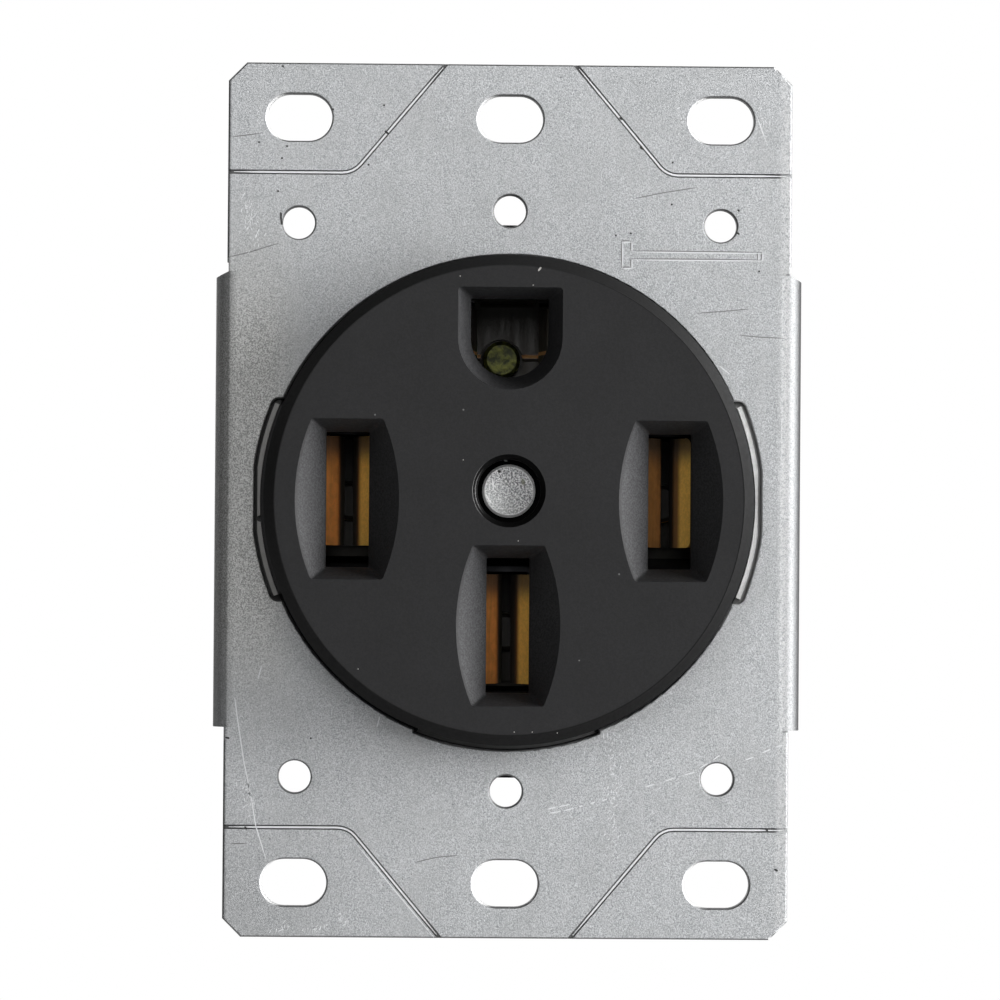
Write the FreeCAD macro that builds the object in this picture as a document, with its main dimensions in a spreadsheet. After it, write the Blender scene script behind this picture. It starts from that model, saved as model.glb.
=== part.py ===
import FreeCAD, Part
import math
import os
from types import SimpleNamespace

import Sketcher

# A flush-mount receptacle with four openings: two hot blades, a neutral blade and a U-shaped ground.
# Millimetres. X points right and Z up, and the face looks towards -Y.
# The origin is the centre of the box screw slots, on the back of the mounting strap.
# A depth is a Y value, and it grows towards the back of the wall box.

SIZES = [
    # Mounting strap
    ("sheet_thick", 1.5, "steel sheet of the strap"),
    ("strap_wide", 61.5, "strap across the ears"),
    ("strap_tall", 95.2, "strap from end to end"),
    ("strap_corner_cut", 2.0, "cut corners of the ears"),
    ("rolled_edge", 0.25, "rounded front edge left by the punch"),
    ("side_span", 64.0, "over the turned-back sides"),
    ("side_tall", 49.6, "height of the turned-back sides"),
    ("bend_radius", 2.3, "outside radius of the folds"),
    ("side_slant", 25.0, "slant of the sides' top edge, in degrees"),
    ("side_slant_start", 30.6, "where that slant begins, from the middle"),
    ("box_screws_across", 46.0, "outer box screw slots, apart in X"),
    ("box_screws_up", 83.3, "box screw slots, apart in Z"),
    ("box_slot_long", 7.1, "box screw slot, end to end"),
    ("box_slot_high", 5.1, "box screw slot, height"),
    ("plate_screws_across", 46.0, "outer wall plate holes, apart in X"),
    ("plate_screws_up", 60.3, "outer wall plate holes, apart in Z"),
    ("middle_screws_up", 63.2, "middle wall plate holes, apart in Z"),
    ("plate_hole_radius", 1.75, "wall plate holes"),
    ("ear_line_up", 35.65, "break-off line of the ears, from the middle"),
    ("ear_corner_out", 17.1, "corner of that line, from the middle"),
    ("ear_slope", 50.0, "rise of its slanted stretch, in degrees"),
    ("ear_turn_radius", 2.6, "rounding of its corner"),
    ("score_wide", 0.5, "width of the scored line"),
    ("score_deep", 0.35, "depth of the scored line"),
    # Opening of the strap and the ring behind it
    ("cover_gap", 0.4, "strap opening round the cover"),
    ("ring_thick", 0.5, "sheet of the bonding ring"),
    ("ring_radius", 29.4, "bonding ring, outside"),
    ("ring_gap", 0.1, "ring round the cover"),
    ("ring_stop", 0.3, "how far the turned-up edges stay behind the strap's front"),
    ("side_edge_flat", 0.22, "flat across the middle of the left and right edges, depth"),
    ("side_edge_angle", 22.5, "half the arc of those edges, in degrees"),
    ("low_edge_angle", 21.0, "half the arc of the lower edge, in degrees"),
    ("notch_gap", 0.3, "strap notches round the turned-up edges"),
    ("low_notch_gap", 0.15, "strap notch under the lower edge"),
    ("notch_more_angle", 0.8, "strap notches past the ends of the edges, in degrees"),
    ("notch_corner", 0.9, "rounded corners of the side notches"),
    ("edge_nick", 0.35, "nick in the left edge, radius"),
    ("edge_nick_down", 2.1, "that nick, below the middle"),
    ("tongue_wide", 6.0, "ground tongue of the ring"),
    ("tongue_end_up", 23.2, "end of the tongue, above the middle"),
    # Cover
    ("cover_radius", 26.4, "cover"),
    ("face_up", 8.0, "face of the cover in front of the strap"),
    ("cover_chamfer", 1.1, "bevel round the face"),
    ("cover_rim", 2.2, "rim wall of the cover"),
    ("face_wall", 5.1, "front wall of the cover"),
    ("pocket_wall", 1.5, "walls round the contact spaces of the cover"),
    ("recess_deep", 3.2, "sunk bevels round the openings"),
    ("recess_top_wide", 7.7, "blade recess across its straight ends"),
    ("recess_wide", 11.2, "blade recess across its bowed sides"),
    ("recess_tall", 17.3, "blade recess, height"),
    ("recess_corner", 0.45, "rounded corners of the recesses"),
    ("blade_slot_wide", 4.65, "blade slot, width"),
    ("blade_slot_tall", 14.6, "blade slot, height"),
    ("hot_out", 17.4, "hot slots, from the middle"),
    ("neutral_down", 13.5, "neutral slot, below the middle"),
    ("ground_up", 17.5, "round of the ground opening, above the middle"),
    ("ground_recess_radius", 5.63, "ground recess, radius"),
    ("ground_recess_top", 5.4, "ground recess, flat top above its round"),
    ("ground_slot_radius", 4.2, "ground opening, radius"),
    ("ground_slot_top", 4.3, "ground opening, flat top above its round"),
    ("rivet_up", 1.0, "centre rivet, above the middle"),
    ("rivet_well_radius", 3.4, "sunk hole over the rivet"),
    ("rivet_well_bevel", 0.55, "bevel of that hole"),
    ("rivet_boss_radius", 4.6, "boss round the rivet"),
    # Base
    ("base_front_radius", 30.2, "front flange of the base"),
    ("base_shoulder", 8.7, "depth of its shoulder"),
    ("base_radius", 27.6, "body of the base"),
    ("base_back", 24.0, "depth of the back of the base"),
    ("pocket_wide", 10.4, "contact pocket, width"),
    ("pocket_tall", 16.4, "contact pocket, height"),
    ("shoulder_bevel", 0.6, "bevel at the back edge of the flange"),
    ("pocket_corner", 0.8, "rounded corners of pockets and chambers"),
    ("chamber_wide", 13.8, "wire chamber, across and up"),
    ("entry_wide", 12.0, "wire entry, along the wall"),
    ("entry_high", 5.6, "wire entry, in depth"),
    ("entry_corner", 1.2, "rounded corners of the wire entries"),
    ("edge_rib_thick", 0.5, "base ribs inside the turned-up edges left and right"),
    ("edge_rib_gap", 0.05, "room on both sides of those ribs"),
    ("core_radius", 4.4, "cored-out holes between the chambers"),
    ("core_out", 14.6, "those holes, across and up from the middle"),
    ("core_floor", 3.0, "floor left behind those holes"),
    ("body_bevel", 0.8, "bevel at the back edge of the cap"),
    # Rear cap
    ("cap_thick", 5.5, "rear cap"),
    ("driver_hole_radius", 4.3, "screwdriver holes"),
    ("driver_hole_bevel", 0.6, "bevel at their mouths"),
    ("peg_radius", 1.6, "locating pegs"),
    ("peg_long", 2.2, "locating pegs, length"),
    ("peg_gap", 0.1, "peg holes round the pegs"),
    ("cap_hollow_deep", 2.6, "moulded hollows of the cap"),
    # Contacts
    ("strip_thick", 0.9, "contact strip"),
    ("contact_floor", 13.3, "depth of the contact floor"),
    ("contact_tall", 11.9, "blade contacts, height"),
    ("hot_contact_up", 1.0, "hot contacts above their screws"),
    ("neutral_contact_up", 0.45, "neutral contact above its screw"),
    ("lip_gap", 2.15, "between the lips of the left and neutral contacts"),
    ("narrow_lip_gap", 1.4, "between the lips of the right contact"),
    ("lip_long", 3.4, "flared lips"),
    ("lip_angle", 30.0, "flare of the lips, in degrees"),
    ("lip_corner", 0.9, "rounded corners of the lips"),
    ("lip_depth", -0.2, "depth of the bend behind the lips"),
    ("throat_gap", 0.8, "between the arms at the throat"),
    ("throat_depth", 4.6, "depth of the throat"),
    ("arm_space", 5.0, "between the arms at the floor"),
    ("arm_depth", 8.4, "depth where the arms turn straight"),
    ("strip_bend", 0.5, "inside radius of the strip's bends"),
    ("clip_thick", 0.6, "spring clip wire strip"),
    ("clip_deep", 3.2, "spring clip, along the depth"),
    ("clip_gap", 0.05, "clip round the arms"),
    ("clip_bend", 0.3, "inside radius of the clip"),
    ("clip_short", 1.5, "clip legs, short of the arms' lower ends"),
    # Ground contact
    ("pin_mouth", 8.4, "between the ground arms at their tips"),
    ("pin_throat", 6.7, "between the ground arms at the throat"),
    ("ground_arm_tip", 1.4, "depth of the ground arms' tips"),
    ("ground_throat_depth", 6.5, "depth of the ground throat"),
    ("ground_arm_depth", 9.6, "depth where the ground arms turn straight"),
    ("ground_arm_space", 8.2, "between the ground arms at the floor"),
    ("ground_arm_low", 1.6, "ground arms below the screw"),
    ("ground_arm_high", 5.2, "ground arms above the screw"),
    ("ground_floor_low", 5.3, "floor of the ground contact below the screw"),
    ("ground_leg_up", 6.3, "upper leg of the ground contact, above the screw"),
    ("ground_ear_end", 25.4, "end of its ear, above the middle"),
    ("rib_radius", 0.35, "rib across the ground contact's floor"),
    ("rib_up", 0.25, "that rib, above the screw"),
    # Terminals
    ("neutral_screw_down", 14.4, "neutral clamp screw, below the middle"),
    ("ground_screw_up", 15.9, "ground clamp screw, above the middle"),
    ("ground_screw_aside", -0.6, "ground clamp screw, off the middle"),
    ("terminal_wide", 13.2, "tapped terminal plate, width"),
    ("terminal_tall", 12.2, "tapped terminal plate, height"),
    ("terminal_thick", 2.0, "tapped terminal plate"),
    ("terminal_rib", 0.35, "rib along its lower edge"),
    ("terminal_rib_high", 0.6, "height of that rib"),
    ("plate_corner", 1.0, "cut corners of the plates"),
    ("pressure_wide", 12.8, "pressure plate, width"),
    ("pressure_tall", 12.0, "pressure plate, height"),
    ("pressure_thick", 1.5, "pressure plate"),
    ("grip_rib_high", 0.4, "grip ribs of the pressure plate"),
    ("grip_rib_wide", 0.8, "grip ribs, width"),
    ("grip_rib_out", 4.0, "grip ribs, from the screw"),
    ("plate_play", 0.3, "pressure plate in front of the cap"),
    ("screw_radius", 2.05, "clamp screw shank"),
    ("thread_gap", 0.05, "tapped hole round the shank"),
    ("screw_gap", 0.3, "clear hole round the shank"),
    ("screw_tip_bevel", 0.4, "bevel of the screw tip"),
    ("screw_reach", 1.2, "screw tip in front of the contact floor"),
    ("ground_screw_reach", 2.4, "ground screw tip in front of the contact floor"),
    ("head_radius", 3.6, "screw head"),
    ("head_high", 2.8, "screw head, height"),
    ("head_bevel", 0.4, "bevel of the screw head"),
    ("driver_slot_wide", 1.2, "screwdriver slot, width"),
    ("driver_slot_deep", 1.3, "screwdriver slot, depth"),
    # Centre rivet
    ("rivet_radius", 1.9, "rivet shank"),
    ("rivet_gap", 0.15, "hole round the shank"),
    ("rivet_head_radius", 2.87, "rivet head"),
    ("rivet_head_high", 1.2, "rivet head, height"),
    ("rivet_head_bevel", 0.25, "edge of the rivet head"),
    ("rivet_sunk", 2.1, "rivet head below the face"),
    ("rivet_tail_radius", 3.0, "formed tail of the rivet"),
    ("rivet_tail_high", 1.1, "formed tail, height"),
    ("rivet_tail_sunk", 0.7, "formed tail below the back"),
    ("rivet_tail_well", 0.6, "hole round the tail"),
    # Folded tabs that hold the base to the strap
    ("tab_gap", 0.1, "tabs behind the shoulder"),
    ("tab_tall", 12.0, "tabs, height"),
    ("tab_tip_out", 28.2, "tips of the tabs, from the middle"),
    ("tab_relief", 0.8, "cuts beside the tabs"),
]

PAST = 1.0  # how far a cut runs past the material

doc = FreeCAD.newDocument("Receptacle")
sheet = doc.addObject("Spreadsheet::Sheet", "Sizes")
for line, (alias, value, meaning) in enumerate(SIZES, start=1):
    sheet.set(f"A{line}", alias)
    sheet.set(f"B{line}", str(value))
    sheet.set(f"C{line}", meaning)
    sheet.setAlias(f"B{line}", alias)
doc.recompute()


class Size:
    """A value worked out from the sheet, with the formula that the document keeps for it."""

    def __init__(self, value, formula):
        self.value = value
        self.formula = formula

    def __add__(self, other):
        other = as_size(other)
        return Size(self.value + other.value, f"({self.formula} + {other.formula})")

    def __sub__(self, other):
        other = as_size(other)
        return Size(self.value - other.value, f"({self.formula} - {other.formula})")

    def __mul__(self, other):
        other = as_size(other)
        return Size(self.value * other.value, f"({self.formula} * {other.formula})")

    def __truediv__(self, other):
        other = as_size(other)
        return Size(self.value / other.value, f"({self.formula} / {other.formula})")

    def __radd__(self, other):
        return as_size(other) + self

    def __rsub__(self, other):
        return as_size(other) - self

    def __rmul__(self, other):
        return as_size(other) * self

    def __neg__(self):
        return Size(-self.value, f"(-1 * {self.formula})")


def as_size(value):
    return value if isinstance(value, Size) else Size(float(value), f"({value})")


def degrees(turn):
    """An angle of the sheet, which holds plain numbers, as an angle."""
    return Size(turn.value, f"({turn.formula} * 1 deg)")


def sine(angle):
    return Size(math.sin(math.radians(angle.value)), f"sin({angle.formula})")


def cosine(angle):
    return Size(math.cos(math.radians(angle.value)), f"cos({angle.formula})")


def tangent(angle):
    return Size(math.tan(math.radians(angle.value)), f"tan({angle.formula})")


def slope_angle(rise, run):
    ratio = rise / run
    return Size(math.degrees(math.atan(ratio.value)), f"atan({ratio.formula})")


def root(square):
    return Size(math.sqrt(square.value), f"sqrt({square.formula})")


S = SimpleNamespace(**{alias: Size(sheet.get(alias), f"Sizes.{alias}") for alias, _, _ in SIZES})

# Depths that several pieces share
FACE = -(S.sheet_thick + S.face_up)
COVER_CEILING = FACE + S.face_wall
BASE_FRONT = S.ring_thick
PLATE_FRONT = S.contact_floor + S.strip_thick
PLATE_BACK = PLATE_FRONT + S.terminal_thick
PRESSURE_BACK = S.base_back - S.plate_play
BACK = S.base_back + S.cap_thick

# Radii of the ring's turned-up edges
LOW_EDGE_INNER = S.cover_radius + S.ring_gap
LOW_EDGE_OUTER = LOW_EDGE_INNER + S.ring_thick
SIDE_EDGE_INNER = S.cover_radius + S.edge_rib_gap * 2 + S.edge_rib_thick
SIDE_EDGE_OUTER = SIDE_EDGE_INNER + S.ring_thick
SIDE_EDGE_FLAT = SIDE_EDGE_OUTER - S.side_edge_flat

# The four terminals, by their screws: name, place in X and Z, and the screw off that place
TERMINALS = [
    ("hot_left", -S.hot_out, as_size(0), as_size(0)),
    ("hot_right", S.hot_out, as_size(0), as_size(0)),
    ("neutral", as_size(0), -S.neutral_screw_down, as_size(0)),
    ("ground", as_size(0), S.ground_screw_up, S.ground_screw_aside),
]

pieces = []


def bind(thing, prop, value):
    thing.setExpression(prop, as_size(value).formula)


def new_body(label, x=0, z=0):
    body = doc.addObject("PartDesign::Body", label)
    body.Label = label
    bind(body, "Placement.Base.x", x)
    bind(body, "Placement.Base.z", z)
    pieces.append(body)
    return body


def corner(x, y, rounding=None, bow=None, dent=None):
    """A corner of an outline. The side that leaves it is straight, or an arc that bows out (bow) or in (dent)."""
    return SimpleNamespace(x=as_size(x), y=as_size(y), rounding=rounding, bow=bow, dent=dent)


def point(x, y):
    return FreeCAD.Vector(x.value, y.value, 0)


def arc_between(start, end, radius, bows_out):
    """The short arc from start to end, and whether it starts at start. Bowing out is to the traveller's right."""
    chord = end - start
    middle = (start + end) / 2
    left = FreeCAD.Vector(-chord.y, chord.x, 0).normalize()
    rise = math.sqrt(max(radius ** 2 - chord.Length ** 2 / 4, 0))
    centre = middle + left * (rise if bows_out else -rise)
    first, last = (start, end) if bows_out else (end, start)
    turns = [math.atan2(tip.y - centre.y, tip.x - centre.x) for tip in (first, last)]
    circle = Part.Circle(centre, FreeCAD.Vector(0, 0, 1), radius)
    return Part.ArcOfCircle(circle, turns[0], turns[1]), bows_out


class Drawing:
    """A sketch on one of its body's own planes. Its places and radii follow the sheet."""

    def __init__(self, body, name, plane, lift):
        self.body = body
        self.sketch = body.newObject("Sketcher::SketchObject", name)
        planes = [item for item in body.Origin.OriginFeatures if item.Role == plane]
        self.sketch.AttachmentSupport = [(planes[0], "")]
        self.sketch.MapMode = "FlatFace"
        bind(self.sketch, "AttachmentOffset.Base.z", lift)

    def measure(self, kind, places, value):
        index = self.sketch.addConstraint(Sketcher.Constraint(kind, *places, value.value))
        self.sketch.setExpression(f"Constraints[{index}]", value.formula)

    def fix(self, place, x, y):
        self.measure("DistanceX", place, x)
        self.measure("DistanceY", place, y)

    def join(self, kind, first, second):
        self.sketch.addConstraint(Sketcher.Constraint(kind, *first, *second))

    def circle(self, x, y, radius):
        x, y = as_size(x), as_size(y)
        index = self.sketch.addGeometry(Part.Circle(point(x, y), FreeCAD.Vector(0, 0, 1), radius.value))
        self.fix((index, 3), x, y)
        self.measure("Radius", (index,), radius)

    def slot(self, x, y, long, high):
        """A slot along the sketch's first axis, with round ends."""
        radius = high / 2
        reach = (long - high) / 2
        ends = []
        for side, turn in ((1, -math.pi / 2), (-1, math.pi / 2)):
            circle = Part.Circle(point(x + reach * side, y), FreeCAD.Vector(0, 0, 1), radius.value)
            ends.append(self.sketch.addGeometry(Part.ArcOfCircle(circle, turn, turn + math.pi)))
        right, left = ends
        top = self.sketch.addGeometry(Part.LineSegment(point(x + reach, y + radius), point(x - reach, y + radius)))
        foot = self.sketch.addGeometry(Part.LineSegment(point(x - reach, y - radius), point(x + reach, y - radius)))
        self.join("Tangent", (right, 2), (top, 1))
        self.join("Tangent", (top, 2), (left, 1))
        self.join("Tangent", (left, 2), (foot, 1))
        self.join("Tangent", (foot, 2), (right, 1))
        self.sketch.addConstraint(Sketcher.Constraint("Equal", right, left))
        self.fix((right, 3), x + reach, y)
        self.fix((left, 3), x - reach, y)
        self.measure("Radius", (right,), radius)

    def rectangle(self, x, y, wide, tall, rounding=None):
        x, y = as_size(x), as_size(y)
        self.outline([corner(x + wide / 2 * sx, y + tall / 2 * sy, rounding)
                      for sx, sy in ((-1, -1), (1, -1), (1, 1), (-1, 1))])

    def arch(self, y, radius, top):
        """A half round, open upwards, with straight sides up to a flat top."""
        arc = Part.ArcOfCircle(Part.Circle(point(as_size(0), y), FreeCAD.Vector(0, 0, 1), radius.value),
                               math.pi, 2 * math.pi)
        low = self.sketch.addGeometry(arc)
        corners = [point(radius * sx, y + up) for sx, up in ((1, 0), (1, top), (-1, top), (-1, 0))]
        right, flat, left = [self.sketch.addGeometry(Part.LineSegment(corners[i], corners[i + 1]))
                             for i in range(len(corners) - 1)]
        self.join("Tangent", (low, 2), (right, 1))
        self.join("Coincident", (right, 2), (flat, 1))
        self.join("Coincident", (flat, 2), (left, 1))
        self.join("Tangent", (left, 2), (low, 1))
        for side in (right, left):
            self.sketch.addConstraint(Sketcher.Constraint("Vertical", side))
        self.sketch.addConstraint(Sketcher.Constraint("Horizontal", flat))
        self.fix((low, 3), as_size(0), y)
        self.measure("Radius", (low,), radius)
        self.measure("DistanceY", (flat, 1), y + top)

    def outline(self, corners):
        """A closed outline through the corners, each sharp or rounded."""
        spots = [point(item.x, item.y) for item in corners]
        count = len(corners)
        before, after, arcs = [], [], {}
        for i, item in enumerate(corners):
            cut = 0
            if item.rounding:
                back = (spots[i - 1] - spots[i]).normalize()
                ahead = (spots[(i + 1) % count] - spots[i]).normalize()
                cut = item.rounding.value / math.tan(back.getAngle(ahead) / 2)
                turns_left = back.cross(ahead).z < 0
                arcs[i] = arc_between(spots[i] + back * cut, spots[i] + ahead * cut, item.rounding.value, turns_left)
            before.append(spots[i] + (spots[i - 1] - spots[i]).normalize() * cut)
            after.append(spots[i] + (spots[(i + 1) % count] - spots[i]).normalize() * cut)
        sides = []
        for i, item in enumerate(corners):
            start, end = after[i], before[(i + 1) % count]
            bend = item.bow or item.dent
            if bend:
                arc, forwards = arc_between(start, end, bend.value, bool(item.bow))
                index = self.sketch.addGeometry(arc)
                self.measure("Radius", (index,), bend)
                sides.append((index, 1, 2) if forwards else (index, 2, 1))
            else:
                sides.append((self.sketch.addGeometry(Part.LineSegment(start, end)), 1, 2))
        for i, item in enumerate(corners):
            last, _, last_end = sides[i - 1]
            this, this_start, _ = sides[i]
            if item.rounding:
                arc, forwards = arcs[i]
                index = self.sketch.addGeometry(arc)
                enters, leaves = (1, 2) if forwards else (2, 1)
                self.join("Tangent", (last, last_end), (index, enters))
                self.join("Tangent", (index, leaves), (this, this_start))
                self.measure("Radius", (index,), item.rounding)
                mark = self.sketch.addGeometry(Part.Point(spots[i]), True)
                self.sketch.addConstraint(Sketcher.Constraint("PointOnObject", mark, 1, last))
                self.sketch.addConstraint(Sketcher.Constraint("PointOnObject", mark, 1, this))
                self.fix((mark, 1), item.x, item.y)
            else:
                self.join("Coincident", (last, last_end), (this, this_start))
                self.fix((this, this_start), item.x, item.y)


def front_drawing(body, name, depth):
    """A sketch seen from the front, X across and Z up, at a depth. Its material side is the front."""
    return Drawing(body, name, "XZ_Plane", -as_size(depth))


def extrude(kind, drawing, length=None, name=None, backwards=False, both_ways=False):
    """A pad, or a pocket, which goes through everything where no length is given."""
    made = drawing.body.newObject(f"PartDesign::{kind}", name or drawing.sketch.Name + kind)
    made.Profile = drawing.sketch
    if length is None:
        made.Type = "ThroughAll"
    else:
        bind(made, "Length", length)
    made.Reversed = backwards
    made.Midplane = both_ways
    drawing.sketch.Visibility = False
    return made


def edges_where(feature, test):
    doc.recompute()
    return [f"Edge{i}" for i, edge in enumerate(feature.Shape.Edges, start=1) if test(edge)]


def dress(kind, body, feature, test, prop, value):
    """A fillet or a chamfer on the edges that pass the test."""
    made = body.newObject(f"PartDesign::{kind}", f"{body.Label}_{kind}")
    made.Base = (feature, edges_where(feature, test))
    bind(made, prop, value)
    return made


def lies_at_depth(depth):
    """A test for edges that lie wholly at a depth."""
    def test(edge):
        box = edge.BoundBox
        return abs(box.YMin - depth.value) < 1e-4 and abs(box.YMax - depth.value) < 1e-4
    return test


def along_y_near(spots):
    """A test for edges along the depth that stand at one of the X and Z spots."""
    def test(edge):
        box = edge.BoundBox
        if box.XLength > 1e-4 or box.ZLength > 1e-4:
            return False
        return any(abs(box.XMin - x.value) < 1e-3 and abs(box.ZMin - z.value) < 1e-3 for x, z in spots)
    return test


def make_strap():
    body = new_body("strap")
    wide, tall, cut = S.strap_wide / 2, S.strap_tall / 2, S.strap_corner_cut
    fold_start, side_top = S.side_span / 2 - S.bend_radius, S.side_tall / 2
    front = -S.sheet_thick

    plate = front_drawing(body, "Plate", 0)
    quarter = [(fold_start, side_top), (wide, side_top), (wide, tall - cut), (wide - cut, tall)]
    round_trip = [(x, z) for x, z in quarter]
    round_trip += [(-x, z) for x, z in reversed(quarter)]
    round_trip += [(-x, -z) for x, z in quarter]
    round_trip += [(x, -z) for x, z in reversed(quarter)]
    plate.outline([corner(x, z) for x, z in round_trip])
    last = extrude("Pad", plate, S.sheet_thick)

    def ear_rim(edge):
        box = edge.BoundBox
        at_fold = box.ZMax < side_top.value + 1e-3 and box.ZMin > -side_top.value - 1e-3
        return lies_at_depth(front)(edge) and not at_fold
    dress("Fillet", body, last, ear_rim, "Radius", S.rolled_edge)

    # The sides turn back by a quarter fold. Tabs at their ends fold in behind the base's shoulder.
    inner_bend = S.bend_radius - S.sheet_thick
    out, inside = S.side_span / 2, S.side_span / 2 - S.sheet_thick
    tab_front = S.base_shoulder + S.tab_gap
    tab_back = tab_front + S.sheet_thick
    sides = Drawing(body, "Sides", "XY_Plane", -side_top)
    for hand in (1, -1):
        turn = {"bow": S.bend_radius} if hand > 0 else {"dent": S.bend_radius}
        inner_turn = {"dent": inner_bend} if hand > 0 else {"bow": inner_bend}
        sides.outline([
            corner(fold_start * hand, front, **turn),
            corner(out * hand, front + S.bend_radius),
            corner(out * hand, tab_back),
            corner(inside * hand, tab_back),
            corner(inside * hand, inner_bend, **inner_turn),
            corner(fold_start * hand, 0),
        ])
    extrude("Pad", sides, S.side_tall)

    relief = Drawing(body, "TabRelief", "YZ_Plane", 0)
    relief_start = tab_back - S.bend_radius
    relief.rectangle((relief_start + tab_back + PAST) / 2, 0, tab_back + PAST - relief_start,
                     S.tab_tall + S.tab_relief * 2)
    extrude("Pocket", relief, both_ways=True)

    tabs = Drawing(body, "Tabs", "XY_Plane", -S.tab_tall / 2)
    for hand in (1, -1):
        turn = {"bow": S.bend_radius} if hand > 0 else {"dent": S.bend_radius}
        inner_turn = {"dent": inner_bend} if hand > 0 else {"bow": inner_bend}
        tabs.outline([
            corner(inside * hand, relief_start - PAST),
            corner(out * hand, relief_start - PAST),
            corner(out * hand, relief_start, **turn),
            corner(fold_start * hand, tab_back),
            corner(S.tab_tip_out * hand, tab_back),
            corner(S.tab_tip_out * hand, tab_front),
            corner(fold_start * hand, tab_front, **inner_turn),
            corner(inside * hand, relief_start),
        ])
    extrude("Pad", tabs, S.tab_tall)

    slant = front_drawing(body, "Slant", tab_back + PAST)
    slant_end = out + PAST
    drop = (slant_end - S.side_slant_start) * tangent(degrees(S.side_slant))
    for hand in (1, -1):
        slant.outline([
            corner(S.side_slant_start * hand, side_top),
            corner(slant_end * hand, side_top - drop),
            corner(slant_end * hand, side_top + PAST),
            corner(S.side_slant_start * hand, side_top + PAST),
        ])
    extrude("Pocket", slant, tab_back + S.sheet_thick + PAST * 2, backwards=True)

    hole = front_drawing(body, "Opening", front - PAST)
    hole.circle(0, 0, S.cover_radius + S.cover_gap)
    extrude("Pocket", hole)

    notches = front_drawing(body, "Notches", front - PAST)
    radius = SIDE_EDGE_OUTER + S.notch_gap
    flat = SIDE_EDGE_FLAT + S.notch_gap
    inner = S.cover_radius / 2
    end_up = radius * sine(degrees(S.side_edge_angle + S.notch_more_angle))
    end_out = radius * cosine(degrees(S.side_edge_angle + S.notch_more_angle))
    flat_up = root(radius * radius - flat * flat)
    for hand in (1, -1):
        bend = {"bow": radius} if hand > 0 else {"dent": radius}
        notches.outline([
            corner(inner * hand, -end_up),
            corner(end_out * hand, -end_up, **bend),
            corner(flat * hand, -flat_up),
            corner(flat * hand, flat_up, **bend),
            corner(end_out * hand, end_up),
            corner(inner * hand, end_up),
        ])
    low_radius = LOW_EDGE_OUTER + S.low_notch_gap
    low_angle = degrees(S.low_edge_angle + S.notch_more_angle)
    low_out, low_down = low_radius * sine(low_angle), low_radius * cosine(low_angle)
    notches.outline([
        corner(-low_out, -inner - low_out),
        corner(-low_out, -low_down, bow=low_radius),
        corner(low_out, -low_down),
        corner(low_out, -inner - low_out),
    ])
    last = extrude("Pocket", notches)
    spots = [(end_out * sx, end_up * sz) for sx in (1, -1) for sz in (1, -1)]
    dress("Fillet", body, last, along_y_near(spots), "Radius", S.notch_corner)

    holes = front_drawing(body, "ScrewHoles", front - PAST)
    for up in (1, -1):
        for across in (1, 0, -1):
            holes.slot(S.box_screws_across / 2 * across, S.box_screws_up / 2 * up, S.box_slot_long, S.box_slot_high)
        for across in (1, -1):
            holes.circle(S.plate_screws_across / 2 * across, S.plate_screws_up / 2 * up, S.plate_hole_radius)
        holes.circle(0, S.middle_screws_up / 2 * up, S.plate_hole_radius)
    last = extrude("Pocket", holes)

    def punched_rim(edge):
        box = edge.BoundBox
        within = max(abs(box.XMin), abs(box.XMax)) < fold_start.value - 1e-3
        small = max(box.XLength, box.ZLength) < S.box_slot_long.value + 1e-3
        on_outline = max(abs(box.ZMin), abs(box.ZMax)) > (S.box_screws_up / 2 + S.box_slot_high / 2).value + 1e-3
        on_opening = box.ZMax < S.cover_radius.value * 1.1 and box.ZMin > -S.cover_radius.value * 1.1
        return lies_at_depth(front)(edge) and within and (on_opening or small and not on_outline)
    dress("Fillet", body, last, punched_rim, "Radius", S.rolled_edge)

    scores = front_drawing(body, "BreakOffLines", front)
    half = S.score_wide / 2
    slope = degrees(S.ear_slope)
    top = tall + PAST
    for sx in (1, -1):
        for sz in (1, -1):
            band = []
            for side in (1, -1):
                offset = half * side
                turn_x = S.ear_corner_out + offset * tangent(slope / 2)
                top_x = S.ear_corner_out + (offset - (top - S.ear_line_up) * cosine(slope)) / sine(slope)
                stretch = [(wide + PAST, S.ear_line_up + offset, None),
                           (turn_x, S.ear_line_up + offset, S.ear_turn_radius - offset),
                           (top_x, top, None)]
                band += stretch if side > 0 else reversed(stretch)
            scores.outline([corner(x * sx, z * sz, rounding) for x, z, rounding in band])
    extrude("Pocket", scores, S.score_deep)


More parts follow.
